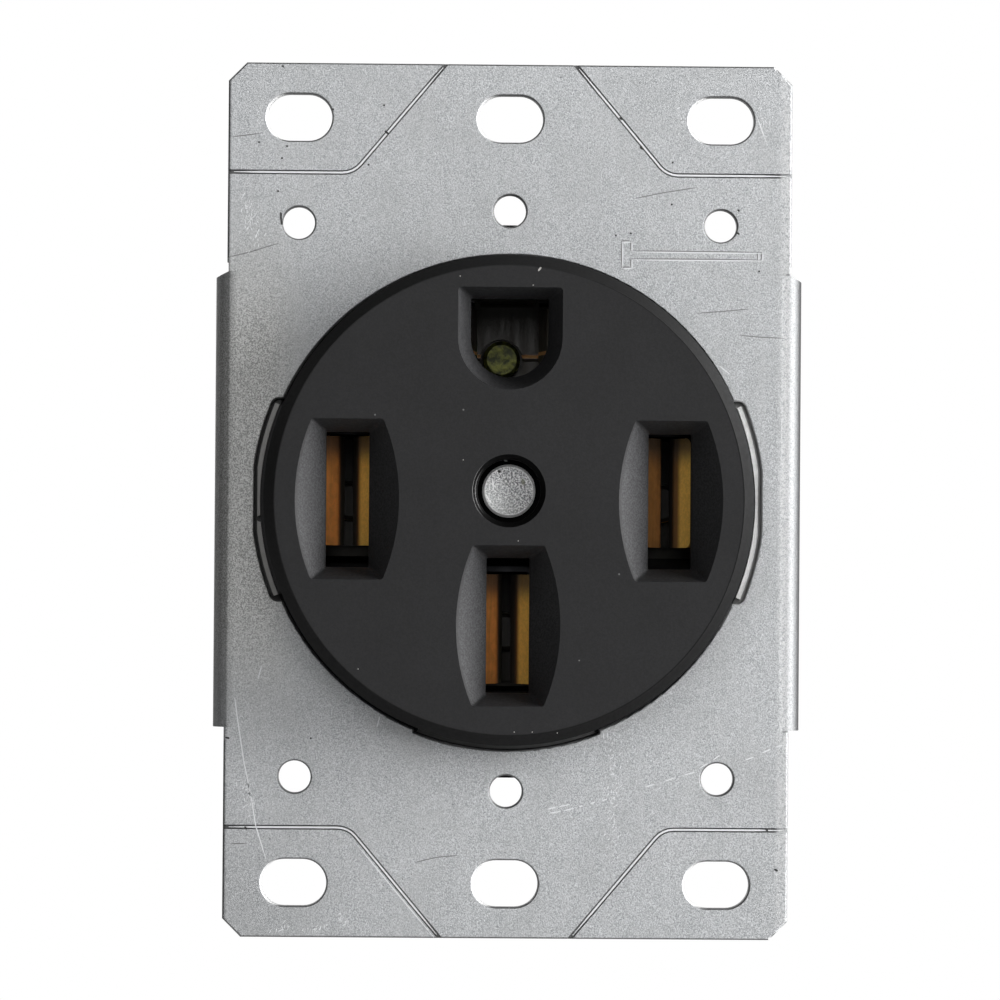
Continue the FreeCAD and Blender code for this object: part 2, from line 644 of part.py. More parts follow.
def make_bonding_ring():
    """A flat ring behind the strap, with three turned-up edges and a tongue for the ground."""
    body = new_body("bonding_yoke")
    edge_front = -(S.sheet_thick - S.ring_stop)

    ring = front_drawing(body, "Ring", S.ring_thick)
    ring.circle(0, 0, S.ring_radius)
    ring.circle(0, 0, LOW_EDGE_OUTER)
    extrude("Pad", ring, S.ring_thick)

    edges = front_drawing(body, "TurnedEdges", S.ring_thick)
    radius, inner, flat = SIDE_EDGE_OUTER, SIDE_EDGE_INNER, SIDE_EDGE_FLAT
    turn = degrees(S.side_edge_angle)
    flat_up = root(radius * radius - flat * flat)
    for hand in (1, -1):
        bow = {"bow": radius} if hand > 0 else {"dent": radius}
        dent = {"dent": inner} if hand > 0 else {"bow": inner}
        edges.outline([
            corner(inner * cosine(turn) * hand, -inner * sine(turn)),
            corner(radius * cosine(turn) * hand, -radius * sine(turn), **bow),
            corner(flat * hand, -flat_up),
            corner(flat * hand, flat_up, **bow),
            corner(radius * cosine(turn) * hand, radius * sine(turn)),
            corner(inner * cosine(turn) * hand, inner * sine(turn), **dent),
        ])
    extrude("Pad", edges, S.ring_thick - edge_front)

    low = front_drawing(body, "LowEdge", S.ring_thick)
    turn = degrees(S.low_edge_angle)
    inner, outer = LOW_EDGE_INNER, LOW_EDGE_OUTER
    low.outline([
        corner(-inner * sine(turn), -inner * cosine(turn)),
        corner(-outer * sine(turn), -outer * cosine(turn), bow=outer),
        corner(outer * sine(turn), -outer * cosine(turn)),
        corner(inner * sine(turn), -inner * cosine(turn), dent=inner),
    ])
    extrude("Pad", low, S.ring_thick - edge_front)

    tongue = front_drawing(body, "Tongue", S.ring_thick)
    tongue_top = (S.ring_radius + LOW_EDGE_OUTER) / 2
    tongue.rectangle(0, (S.tongue_end_up + tongue_top) / 2, S.tongue_wide, tongue_top - S.tongue_end_up)
    extrude("Pad", tongue, S.ring_thick)

    nick = front_drawing(body, "Nick", edge_front - PAST)
    nick.circle(-SIDE_EDGE_INNER, -S.edge_nick_down, S.edge_nick)
    extrude("Pocket", nick, PAST + S.sheet_thick / 2)


def terminal_spots():
    return [(x, z) for _, x, z, _ in TERMINALS]


def blade_slots():
    """Name and middle of each blade slot."""
    return [("HotLeft", -S.hot_out, as_size(0)), ("HotRight", S.hot_out, as_size(0)),
            ("Neutral", as_size(0), -S.neutral_down)]


def make_front_cover():
    body = new_body("front_cover")
    disc = front_drawing(body, "Disc", BASE_FRONT)
    disc.circle(0, 0, S.cover_radius)
    last = extrude("Pad", disc, BASE_FRONT - FACE)
    dress("Chamfer", body, last, lies_at_depth(FACE), "Size", S.cover_chamfer)

    hollow = front_drawing(body, "Hollow", BASE_FRONT)
    hollow.circle(0, 0, S.cover_radius - S.cover_rim)
    extrude("Pocket", hollow, BASE_FRONT - COVER_CEILING, backwards=True)

    walls = front_drawing(body, "PocketWalls", BASE_FRONT)
    for x, z in terminal_spots():
        walls.rectangle(x, z, S.pocket_wide + S.pocket_wall * 2, S.pocket_tall + S.pocket_wall * 2, S.pocket_corner)
    walls.circle(0, S.rivet_up, S.rivet_boss_radius)
    extrude("Pad", walls, BASE_FRONT - COVER_CEILING)

    spaces = front_drawing(body, "ContactSpaces", BASE_FRONT)
    for x, z in terminal_spots():
        spaces.rectangle(x, z, S.pocket_wide, S.pocket_tall, S.pocket_corner)
    extrude("Pocket", spaces, BASE_FRONT - COVER_CEILING, backwards=True)

    # The bevels of a blade recess run from bowed sides at the face to the straight slot.
    recess_floor = FACE + S.recess_deep
    bulge = (S.recess_wide - S.recess_top_wide) / 2
    side_radius = (S.recess_tall * S.recess_tall / 4 + bulge * bulge) / (bulge * 2)
    for name, x, z in blade_slots():
        mouth = front_drawing(body, f"{name}Mouth", FACE)
        wide, tall = S.recess_top_wide / 2, S.recess_tall / 2
        mouth.outline([
            corner(x - wide, z - tall),
            corner(x + wide, z - tall, bow=side_radius),
            corner(x + wide, z + tall),
            corner(x - wide, z + tall, bow=side_radius),
        ])
        slot = front_drawing(body, f"{name}Slot", recess_floor)
        slot.rectangle(x, z, S.blade_slot_wide, S.blade_slot_tall)
        sink(body, f"{name}Recess", mouth, slot)
    mouth = front_drawing(body, "GroundMouth", FACE)
    mouth.arch(S.ground_up, S.ground_recess_radius, S.ground_recess_top)
    slot = front_drawing(body, "GroundSlot", recess_floor)
    slot.arch(S.ground_up, S.ground_slot_radius, S.ground_slot_top)
    last = sink(body, "GroundRecess", mouth, slot)

    def recess_crease(edge):
        """The creases between two bevels, but not the seams where the ground recess turns round."""
        box = edge.BoundBox
        if abs(box.YMin - FACE.value) > 1e-4 or abs(box.YMax - recess_floor.value) > 1e-4:
            return False
        return box.ZMin < S.ground_up.value / 2 or box.ZMin > S.ground_up.value + 1
    dress("Fillet", body, last, recess_crease, "Radius", S.recess_corner)

    slots = front_drawing(body, "Slots", FACE)
    for _, x, z in blade_slots():
        slots.rectangle(x, z, S.blade_slot_wide, S.blade_slot_tall)
    slots.arch(S.ground_up, S.ground_slot_radius, S.ground_slot_top)
    extrude("Pocket", slots, COVER_CEILING - FACE + PAST)

    well = front_drawing(body, "RivetWell", FACE)
    well.circle(0, S.rivet_up, S.rivet_well_radius)
    last = extrude("Pocket", well, S.rivet_sunk + S.rivet_head_high)

    def well_rim(edge):
        return lies_at_depth(FACE)(edge) and abs(edge.BoundBox.XLength / 2 - S.rivet_well_radius.value) < 1e-3
    dress("Chamfer", body, last, well_rim, "Size", S.rivet_well_bevel)
    shank = front_drawing(body, "RivetHole", FACE)
    shank.circle(0, S.rivet_up, S.rivet_radius + S.rivet_gap)
    extrude("Pocket", shank)

    # A shallow notch in the rim lets the ring's ground tongue pass.
    passage = front_drawing(body, "TonguePassage", BASE_FRONT)
    low, high = S.tongue_end_up - S.tab_gap * 2, S.cover_radius + PAST
    passage.rectangle(0, (low + high) / 2, S.tongue_wide + S.ring_gap * 4, high - low)
    extrude("Pocket", passage, S.ring_thick + S.ring_gap, backwards=True)


def sink(body, name, mouth, floor):
    """A hollow with straight walls from one outline to another."""
    loft = body.newObject("PartDesign::SubtractiveLoft", name)
    loft.Profile = mouth.sketch
    loft.Sections = [floor.sketch]
    loft.Ruled = True
    mouth.sketch.Visibility = False
    floor.sketch.Visibility = False
    return loft


def make_rear_base():
    body = new_body("rear_base")
    flange = front_drawing(body, "Flange", BASE_FRONT)
    flange.circle(0, 0, S.base_front_radius)
    last = extrude("Pad", flange, S.base_shoulder - BASE_FRONT, backwards=True)
    dress("Chamfer", body, last, lies_at_depth(S.base_shoulder), "Size", S.shoulder_bevel)
    drum = front_drawing(body, "Drum", S.base_shoulder)
    drum.circle(0, 0, S.base_radius)
    extrude("Pad", drum, S.base_back - S.base_shoulder, backwards=True)

    # Ribs on the front back up the ring's turned-up edges left and right.
    ribs = front_drawing(body, "EdgeRibs", BASE_FRONT)
    outer = SIDE_EDGE_INNER - S.edge_rib_gap
    inner = S.cover_radius + S.edge_rib_gap
    turn = degrees(S.side_edge_angle)
    for hand in (1, -1):
        bow = {"bow": outer} if hand > 0 else {"dent": outer}
        dent = {"dent": inner} if hand > 0 else {"bow": inner}
        ribs.outline([
            corner(inner * cosine(turn) * hand, -inner * sine(turn)),
            corner(outer * cosine(turn) * hand, -outer * sine(turn), **bow),
            corner(outer * cosine(turn) * hand, outer * sine(turn)),
            corner(inner * cosine(turn) * hand, inner * sine(turn), **dent),
        ])
    extrude("Pad", ribs, BASE_FRONT + S.sheet_thick - S.ring_stop)

    pockets = front_drawing(body, "ContactPockets", BASE_FRONT)
    for x, z in terminal_spots():
        pockets.rectangle(x, z, S.pocket_wide, S.pocket_tall, S.pocket_corner)
    extrude("Pocket", pockets, PLATE_FRONT - BASE_FRONT)

    chambers = front_drawing(body, "WireChambers", S.base_back)
    for x, z in terminal_spots():
        chambers.rectangle(x, z, S.chamber_wide, S.chamber_wide, S.pocket_corner)
    extrude("Pocket", chambers, S.base_back - PLATE_FRONT, backwards=True)

    # Wire entries: left and right for the hot wires, below for the neutral, above for the ground.
    entry_middle = PLATE_BACK + (PRESSURE_BACK - S.pressure_thick - PLATE_BACK) / 2
    across = Drawing(body, "HotEntries", "YZ_Plane", 0)
    across.rectangle(entry_middle, 0, S.entry_high, S.entry_wide, S.entry_corner)
    cut_entry(across, S.hot_out, forwards=True)
    across = Drawing(body, "HotEntriesLeft", "YZ_Plane", 0)
    across.rectangle(entry_middle, 0, S.entry_high, S.entry_wide, S.entry_corner)
    cut_entry(across, S.hot_out, forwards=False)
    upwards = Drawing(body, "GroundEntry", "XY_Plane", 0)
    upwards.rectangle(0, entry_middle, S.entry_wide, S.entry_high, S.entry_corner)
    cut_entry(upwards, S.ground_screw_up, forwards=True)
    downwards = Drawing(body, "NeutralEntry", "XY_Plane", 0)
    downwards.rectangle(0, entry_middle, S.entry_wide, S.entry_high, S.entry_corner)
    cut_entry(downwards, S.neutral_screw_down, forwards=False)

    cores = front_drawing(body, "CoredHoles", BASE_FRONT)
    for sx in (1, -1):
        for sz in (1, -1):
            cores.circle(S.core_out * sx, S.core_out * sz, S.core_radius)
    extrude("Pocket", cores, S.base_back - BASE_FRONT - S.core_floor - S.peg_long)

    pegs = front_drawing(body, "PegHoles", S.base_back)
    for side in (1, -1):
        pegs.circle(S.core_out * side, S.core_out * -side, S.peg_radius + S.peg_gap)
    extrude("Pocket", pegs, S.peg_long + S.peg_gap, backwards=True)

    shank = front_drawing(body, "RivetHole", BASE_FRONT)
    shank.circle(0, S.rivet_up, S.rivet_radius + S.rivet_gap)
    extrude("Pocket", shank)

    # The ground contact's ear lies in a seat in the front face.
    seat = front_drawing(body, "EarSeat", BASE_FRONT)
    low, high = S.ground_screw_up, S.ground_ear_end + S.tab_gap
    seat.rectangle(0, (low + high) / 2, S.tongue_wide + S.ring_gap * 4, high - low)
    extrude("Pocket", seat, S.strip_thick)


def cut_entry(drawing, start, forwards):
    """Cuts from a terminal's middle out through the drum's wall."""
    lift = start if forwards else -start
    bind(drawing.sketch, "AttachmentOffset.Base.z", lift)
    extrude("Pocket", drawing, S.base_radius - start + PAST, backwards=forwards)


def make_rear_cap():
    body = new_body("rear_cap")
    disc = front_drawing(body, "Disc", S.base_back)
    disc.circle(0, 0, S.base_radius)
    last = extrude("Pad", disc, S.cap_thick, backwards=True)
    dress("Chamfer", body, last, lies_at_depth(BACK), "Size", S.body_bevel)

    pegs = front_drawing(body, "Pegs", S.base_back)
    for side in (1, -1):
        pegs.circle(S.core_out * side, S.core_out * -side, S.peg_radius)
    extrude("Pad", pegs, S.peg_long)

    hollows = front_drawing(body, "Hollows", BACK)
    for sx in (1, -1):
        for sz in (1, -1):
            hollows.circle(S.core_out * sx, S.core_out * sz, S.core_radius)
    extrude("Pocket", hollows, S.cap_hollow_deep, backwards=True)

    holes = front_drawing(body, "DriverHoles", S.base_back)
    for _, x, z, aside in TERMINALS:
        holes.circle(x + aside, z, S.driver_hole_radius)
    last = extrude("Pocket", holes)

    def mouths(edge):
        return lies_at_depth(BACK)(edge) and abs(edge.BoundBox.XLength / 2 - S.driver_hole_radius.value) < 1e-3
    dress("Chamfer", body, last, mouths, "Size", S.driver_hole_bevel)

    well = front_drawing(body, "RivetWell", BACK)
    well.circle(0, S.rivet_up, S.rivet_tail_radius + S.rivet_tail_well)
    extrude("Pocket", well, S.rivet_tail_sunk + S.rivet_tail_high, backwards=True)
    shank = front_drawing(body, "RivetHole", S.base_back)
    shank.circle(0, S.rivet_up, S.rivet_radius + S.rivet_gap)
    extrude("Pocket", shank)


def make_rivet():
    body = new_body("centre_rivet", 0, S.rivet_up)
    head_front = FACE + S.rivet_sunk
    tail_back = BACK - S.rivet_tail_sunk
    edge = S.rivet_head_bevel
    half = Drawing(body, "HalfSection", "XY_Plane", 0)
    half.outline([
        corner(0, head_front),
        corner(S.rivet_head_radius - edge, head_front),
        corner(S.rivet_head_radius, head_front + edge),
        corner(S.rivet_head_radius, head_front + S.rivet_head_high),
        corner(S.rivet_radius, head_front + S.rivet_head_high),
        corner(S.rivet_radius, tail_back - S.rivet_tail_high),
        corner(S.rivet_tail_radius, tail_back - S.rivet_tail_high),
        corner(S.rivet_tail_radius - edge * 3, tail_back),
        corner(0, tail_back),
    ])
    turn_round(half)


def turn_round(drawing):
    made = drawing.body.newObject("PartDesign::Revolution", drawing.sketch.Name + "Turned")
    made.Profile = drawing.sketch
    made.ReferenceAxis = (drawing.sketch, ["V_Axis"])
    made.Angle = 360
    drawing.sketch.Visibility = False
    return made


def bend_point(x, y, lean_before, lean_after):
    """The corner beside a bend of the strip, one thickness further out. A lean is the angle from the depth."""
    middle = (lean_before + lean_after) / 2
    reach = S.strip_thick / cosine((lean_before - lean_after) / 2)
    return x + reach * cosine(middle), y - reach * sine(middle)


def folded_section(drawing, bends, tip, tip_lean, foot_space, floor):
    """A U of folded strip: tips, bends (x, y, lean before, lean after, opens inwards) and floor, both arms alike."""
    inner = [corner(*tip)]
    outer = [corner(tip[0] + S.strip_thick * cosine(tip_lean), tip[1] - S.strip_thick * sine(tip_lean))]
    tight, wide = S.strip_bend, S.strip_bend + S.strip_thick
    for x, y, before, after, inwards in bends:
        inner.append(corner(x, y, tight if inwards else wide))
        outer.append(corner(*bend_point(x, y, before, after), wide if inwards else tight))
    inner.append(corner(foot_space / 2, floor, tight))
    outer.append(corner(foot_space / 2 + S.strip_thick, floor + S.strip_thick, wide))
    mirrored = [[corner(-item.x, item.y, item.rounding) for item in face] for face in (inner, outer)]
    drawing.outline(inner + mirrored[0][::-1] + mirrored[1] + outer[::-1])


def make_blade_contact(label, place_x, place_z, lip_gap, rise):
    body = new_body(label, place_x, place_z)
    flare = -degrees(S.lip_angle)
    closing = slope_angle((S.throat_gap - lip_gap) / 2, S.throat_depth - S.lip_depth)
    opening = slope_angle((S.arm_space - S.throat_gap) / 2, S.arm_depth - S.throat_depth)
    straight = degrees(as_size(0))
    tip = (lip_gap / 2 - S.lip_long * sine(flare), S.lip_depth - S.lip_long * cosine(flare))
    section = Drawing(body, "Section", "XY_Plane", rise - S.contact_tall / 2)
    folded_section(section, [
        (lip_gap / 2, S.lip_depth, flare, closing, False),
        (S.throat_gap / 2, S.throat_depth, closing, opening, False),
        (S.arm_space / 2, S.arm_depth, opening, straight, True),
    ], tip, flare, S.arm_space, S.contact_floor)
    last = extrude("Pad", section, S.contact_tall)

    low, high = rise - S.contact_tall / 2, rise + S.contact_tall / 2

    def lip_corners(edge):
        box = edge.BoundBox
        at_end = min(abs(box.ZMax - low.value), abs(box.ZMin - high.value)) < 1e-3 and box.ZLength < 1e-3
        return at_end and box.YMax < tip[1].value + S.strip_thick.value
    last = dress("Fillet", body, last, lip_corners, "Radius", S.lip_corner)

    hole = front_drawing(body, "ScrewHole", S.contact_floor - PAST)
    hole.circle(0, 0, S.screw_radius + S.screw_gap)
    extrude("Pocket", hole, S.strip_thick + PAST * 2)


def make_spring_clip(label, place_x, place_z, rise):
    """A strip bent over the top end of a contact's arms, which holds them together at the throat."""
    body = new_body(label, place_x, place_z)
    opening = slope_angle((S.arm_space - S.throat_gap) / 2, S.arm_depth - S.throat_depth)
    inner = (S.throat_gap / 2 + S.clip_deep / 2 * tangent(opening) + S.strip_thick / cosine(opening) + S.clip_gap)
    outer = inner + S.clip_thick
    low = rise - S.contact_tall / 2 + S.clip_short
    top = rise + S.contact_tall / 2 + S.clip_bend
    bow = front_drawing(body, "Bow", S.throat_depth + S.clip_deep / 2)
    bow.outline([
        corner(inner, low),
        corner(outer, low),
        corner(outer, top + S.clip_thick, S.clip_bend + S.clip_thick),
        corner(-outer, top + S.clip_thick, S.clip_bend + S.clip_thick),
        corner(-outer, low),
        corner(-inner, low),
        corner(-inner, top, S.clip_bend),
        corner(inner, top, S.clip_bend),
    ])
    extrude("Pad", bow, S.clip_deep)


def make_ground_contact():
    _, place_x, place_z, aside = TERMINALS[3]
    body = new_body("ground_contact", place_x, place_z)
    closing = slope_angle((S.pin_throat - S.pin_mouth) / 2, S.ground_throat_depth - S.ground_arm_tip)
    opening = slope_angle((S.ground_arm_space - S.pin_throat) / 2, S.ground_arm_depth - S.ground_throat_depth)
    straight = degrees(as_size(0))
    arms = Drawing(body, "Arms", "XY_Plane", -S.ground_arm_low)
    folded_section(arms, [
        (S.pin_throat / 2, S.ground_throat_depth, closing, opening, False),
        (S.ground_arm_space / 2, S.ground_arm_depth, opening, straight, True),
    ], (S.pin_mouth / 2, S.ground_arm_tip), closing, S.ground_arm_space, S.contact_floor)
    extrude("Pad", arms, S.ground_arm_low + S.ground_arm_high)

    web = front_drawing(body, "Web", PLATE_FRONT)
    low, high = -S.ground_floor_low, S.ground_leg_up + S.strip_thick / 2
    web.rectangle(0, (low + high) / 2, S.ground_arm_space - S.strip_bend * 2, high - low)
    extrude("Pad", web, S.strip_thick)

    leg = Drawing(body, "UpperLeg", "YZ_Plane", 0)
    up, end = S.ground_leg_up, S.ground_ear_end - S.ground_screw_up
    thick, tight = S.strip_thick, S.strip_bend
    leg.outline([
        corner(PLATE_FRONT, up - PAST),
        corner(PLATE_FRONT, up + thick, tight + thick),
        corner(BASE_FRONT + thick, up + thick, tight / 2),
        corner(BASE_FRONT + thick, end),
        corner(BASE_FRONT, end),
        corner(BASE_FRONT, up, tight + thick),
        corner(S.contact_floor, up, tight),
        corner(S.contact_floor, up - PAST),
    ])
    extrude("Pad", leg, S.tongue_wide, both_ways=True)

    rib = Drawing(body, "Rib", "YZ_Plane", 0)
    rib.circle(S.contact_floor, S.rib_up, S.rib_radius)
    extrude("Pad", rib, S.ground_arm_space - S.strip_bend * 2, both_ways=True)

    hole = front_drawing(body, "ScrewHole", S.contact_floor - PAST)
    hole.circle(aside, 0, S.screw_radius + S.screw_gap)
    extrude("Pocket", hole, S.strip_thick + PAST * 2)


def cut_corner_plate(drawing, wide, tall, cut):
    half_wide, half_tall = wide / 2, tall / 2
    quarter = [(half_wide, half_tall - cut), (half_wide - cut, half_tall)]
    trip = quarter + [(-x, z) for x, z in reversed(quarter)]
    trip += [(-x, -z) for x, z in quarter] + [(x, -z) for x, z in reversed(quarter)]
    drawing.outline([corner(x, z) for x, z in trip])


def make_terminal_plate(label, place_x, place_z, aside):
    body = new_body(label, place_x, place_z)
    plate = front_drawing(body, "Plate", PLATE_BACK)
    cut_corner_plate(plate, S.terminal_wide, S.terminal_tall, S.plate_corner)
    extrude("Pad", plate, S.terminal_thick)

    rib = front_drawing(body, "LowerRib", PLATE_FRONT)
    low = -S.terminal_tall / 2
    rib_wide = S.pocket_wide - S.pocket_corner
    rib.rectangle(0, low + S.terminal_rib / 2, rib_wide, S.terminal_rib)
    extrude("Pad", rib, S.terminal_rib_high)

    hole = front_drawing(body, "TappedHole", PLATE_FRONT - PAST)
    hole.circle(aside, 0, S.screw_radius + S.thread_gap)
    extrude("Pocket", hole)


def make_pressure_plate(label, place_x, place_z, aside):
    body = new_body(label, place_x, place_z)
    front = PRESSURE_BACK - S.pressure_thick
    plate = front_drawing(body, "Plate", PRESSURE_BACK)
    cut_corner_plate(plate, S.pressure_wide, S.pressure_tall, S.plate_corner)
    extrude("Pad", plate, S.pressure_thick)

    ribs = front_drawing(body, "GripRibs", front)
    for side in (1, -1):
        ribs.rectangle(0, S.grip_rib_out * side, S.pressure_wide - S.plate_corner * 2, S.grip_rib_wide)
    extrude("Pad", ribs, S.grip_rib_high)

    hole = front_drawing(body, "ScrewHole", front - PAST)
    hole.circle(aside, 0, S.screw_radius + S.screw_gap)
    extrude("Pocket", hole)


def make_clamp_screw(label, place_x, place_z, reach):
    body = new_body(label, place_x, place_z)
    tip = S.contact_floor - reach
    seat = PRESSURE_BACK
    back = seat + S.head_high
    half = Drawing(body, "HalfSection", "XY_Plane", 0)
    half.outline([
        corner(0, tip),
        corner(S.screw_radius - S.screw_tip_bevel, tip),
        corner(S.screw_radius, tip + S.screw_tip_bevel),
        corner(S.screw_radius, seat),
        corner(S.head_radius, seat),
        corner(S.head_radius, back - S.head_bevel),
        corner(S.head_radius - S.head_bevel, back),
        corner(0, back),
    ])
    turn_round(half)
    slot = front_drawing(body, "DriverSlot", back)
    slot.rectangle(0, 0, S.head_radius * 2 + PAST, S.driver_slot_wide)
    extrude("Pocket", slot, S.driver_slot_deep, backwards=True)


def make_terminals():
    for name, x, z, aside in TERMINALS:
        make_terminal_plate(f"{name}_terminal_plate", x, z, aside)
        make_pressure_plate(f"{name}_pressure_plate", x, z, aside)
        reach = S.ground_screw_reach if name == "ground" else S.screw_reach
        make_clamp_screw(f"{name}_clamp_screw", x + aside, z, reach)


def make_contacts():
    gaps = {"hot_left": S.lip_gap, "hot_right": S.narrow_lip_gap, "neutral": S.lip_gap}
    for name, x, z, _ in TERMINALS[:3]:
        rise = S.neutral_contact_up if name == "neutral" else S.hot_contact_up
        make_blade_contact(f"{name}_contact", x, z, gaps[name], rise)
        make_spring_clip(f"{name}_spring_clip", x, z, rise)
    make_ground_contact()


def check_model():
    """Stops if an object failed, a shape is bad, a cut removed nothing or a pad added nothing."""
    for item in doc.Objects:
        if "Invalid" in item.State or "Error" in item.State:
            raise RuntimeError(f"{item.Name} failed: {item.State}")
    for piece in pieces:
        shape = piece.Shape
        if shape.isNull() or not shape.isValid() or len(shape.Solids) != 1:
            raise RuntimeError(f"{piece.Label} is not one valid solid")
        volume = 0
        for item in piece.Group:
            if not item.isDerivedFrom("PartDesign::Feature"):
                continue
            cuts = item.TypeId in ("PartDesign::Pocket", "PartDesign::SubtractiveLoft")
            grown = item.Shape.Volume - volume
            dressing = item.TypeId in ("PartDesign::Fillet", "PartDesign::Chamfer")
            if abs(grown) < 1e-4 or not dressing and cuts != (grown < 0):
                raise RuntimeError(f"{piece.Label}: {item.Name} changes nothing, or the wrong way")
            volume = item.Shape.Volume


make_strap()
make_bonding_ring()
make_front_cover()
make_rear_base()
make_rear_cap()
make_rivet()
make_contacts()
make_terminals()
doc.recompute()
check_model()

os.makedirs("parts", exist_ok=True)
for piece in pieces:
    piece.Shape.exportStep(f"parts/{piece.Label}.step")
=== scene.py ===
import math
import random

import bpy
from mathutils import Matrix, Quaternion, Vector


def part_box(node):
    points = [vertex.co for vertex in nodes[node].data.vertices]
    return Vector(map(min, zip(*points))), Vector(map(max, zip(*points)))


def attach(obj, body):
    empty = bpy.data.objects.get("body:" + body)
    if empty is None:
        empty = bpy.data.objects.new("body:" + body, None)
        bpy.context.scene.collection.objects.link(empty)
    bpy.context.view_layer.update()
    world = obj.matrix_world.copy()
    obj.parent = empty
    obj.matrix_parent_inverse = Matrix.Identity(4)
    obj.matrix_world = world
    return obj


# A flush-mount receptacle seen from the front, on a white studio background.
# Metres, unless a comment says millimetres or pixels. X points right, Z up, and the face looks towards -Y.

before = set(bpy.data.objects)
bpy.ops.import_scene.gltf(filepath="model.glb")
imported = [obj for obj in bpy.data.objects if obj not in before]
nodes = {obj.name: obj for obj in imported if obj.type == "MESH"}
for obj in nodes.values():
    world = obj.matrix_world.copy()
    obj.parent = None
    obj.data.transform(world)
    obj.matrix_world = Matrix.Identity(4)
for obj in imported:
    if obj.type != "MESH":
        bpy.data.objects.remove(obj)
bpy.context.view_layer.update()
scene = bpy.context.scene

MM = 0.001
strap_low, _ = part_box("strap")
cover_low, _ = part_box("front_cover")
rivet_low, rivet_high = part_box("centre_rivet")
STRAP_FRONT = strap_low.y
COVER_FACE = cover_low.y
RIVET_UP = (rivet_low.z + rivet_high.z) / 2 / MM

# The photograph's size in pixels and turn in degrees, and the scale and centre pixel of three planes in it.
PHOTO_PIXELS = 1000
IMAGE_TURN = 0.43
STRAP_MM_PER_PIXEL = 0.1089
STRAP_CENTRE_PIXEL = (507.9, 501.0)
COVER_MM_PER_PIXEL = 0.10732
COVER_CENTRE_PIXEL = (508.9, 500.2)
RIVET_MM_PER_PIXEL = 0.1078
RIVET_CENTRE_PIXEL = (508.8, 491.8)


def seen_at(across, down, mm_per_pixel=STRAP_MM_PER_PIXEL, centre=STRAP_CENTRE_PIXEL):
    """X and Z in millimetres of a place in the photograph's pixels, on the strap unless told otherwise."""
    turn = math.radians(IMAGE_TURN)
    right, up = (across - centre[0]) * mm_per_pixel, (centre[1] - down) * mm_per_pixel
    return Vector((right * math.cos(turn) - up * math.sin(turn),
                   right * math.sin(turn) + up * math.cos(turn)))


def on_cover(across, down):
    """X and Z in millimetres on the cover's face, from the photograph's pixels."""
    return seen_at(across, down, COVER_MM_PER_PIXEL, COVER_CENTRE_PIXEL)


def at_rivet(across, down):
    """X and Z in millimetres on the rivet's face, from the photograph's pixels."""
    return seen_at(across, down, RIVET_MM_PER_PIXEL, RIVET_CENTRE_PIXEL) + Vector((0, RIVET_UP))


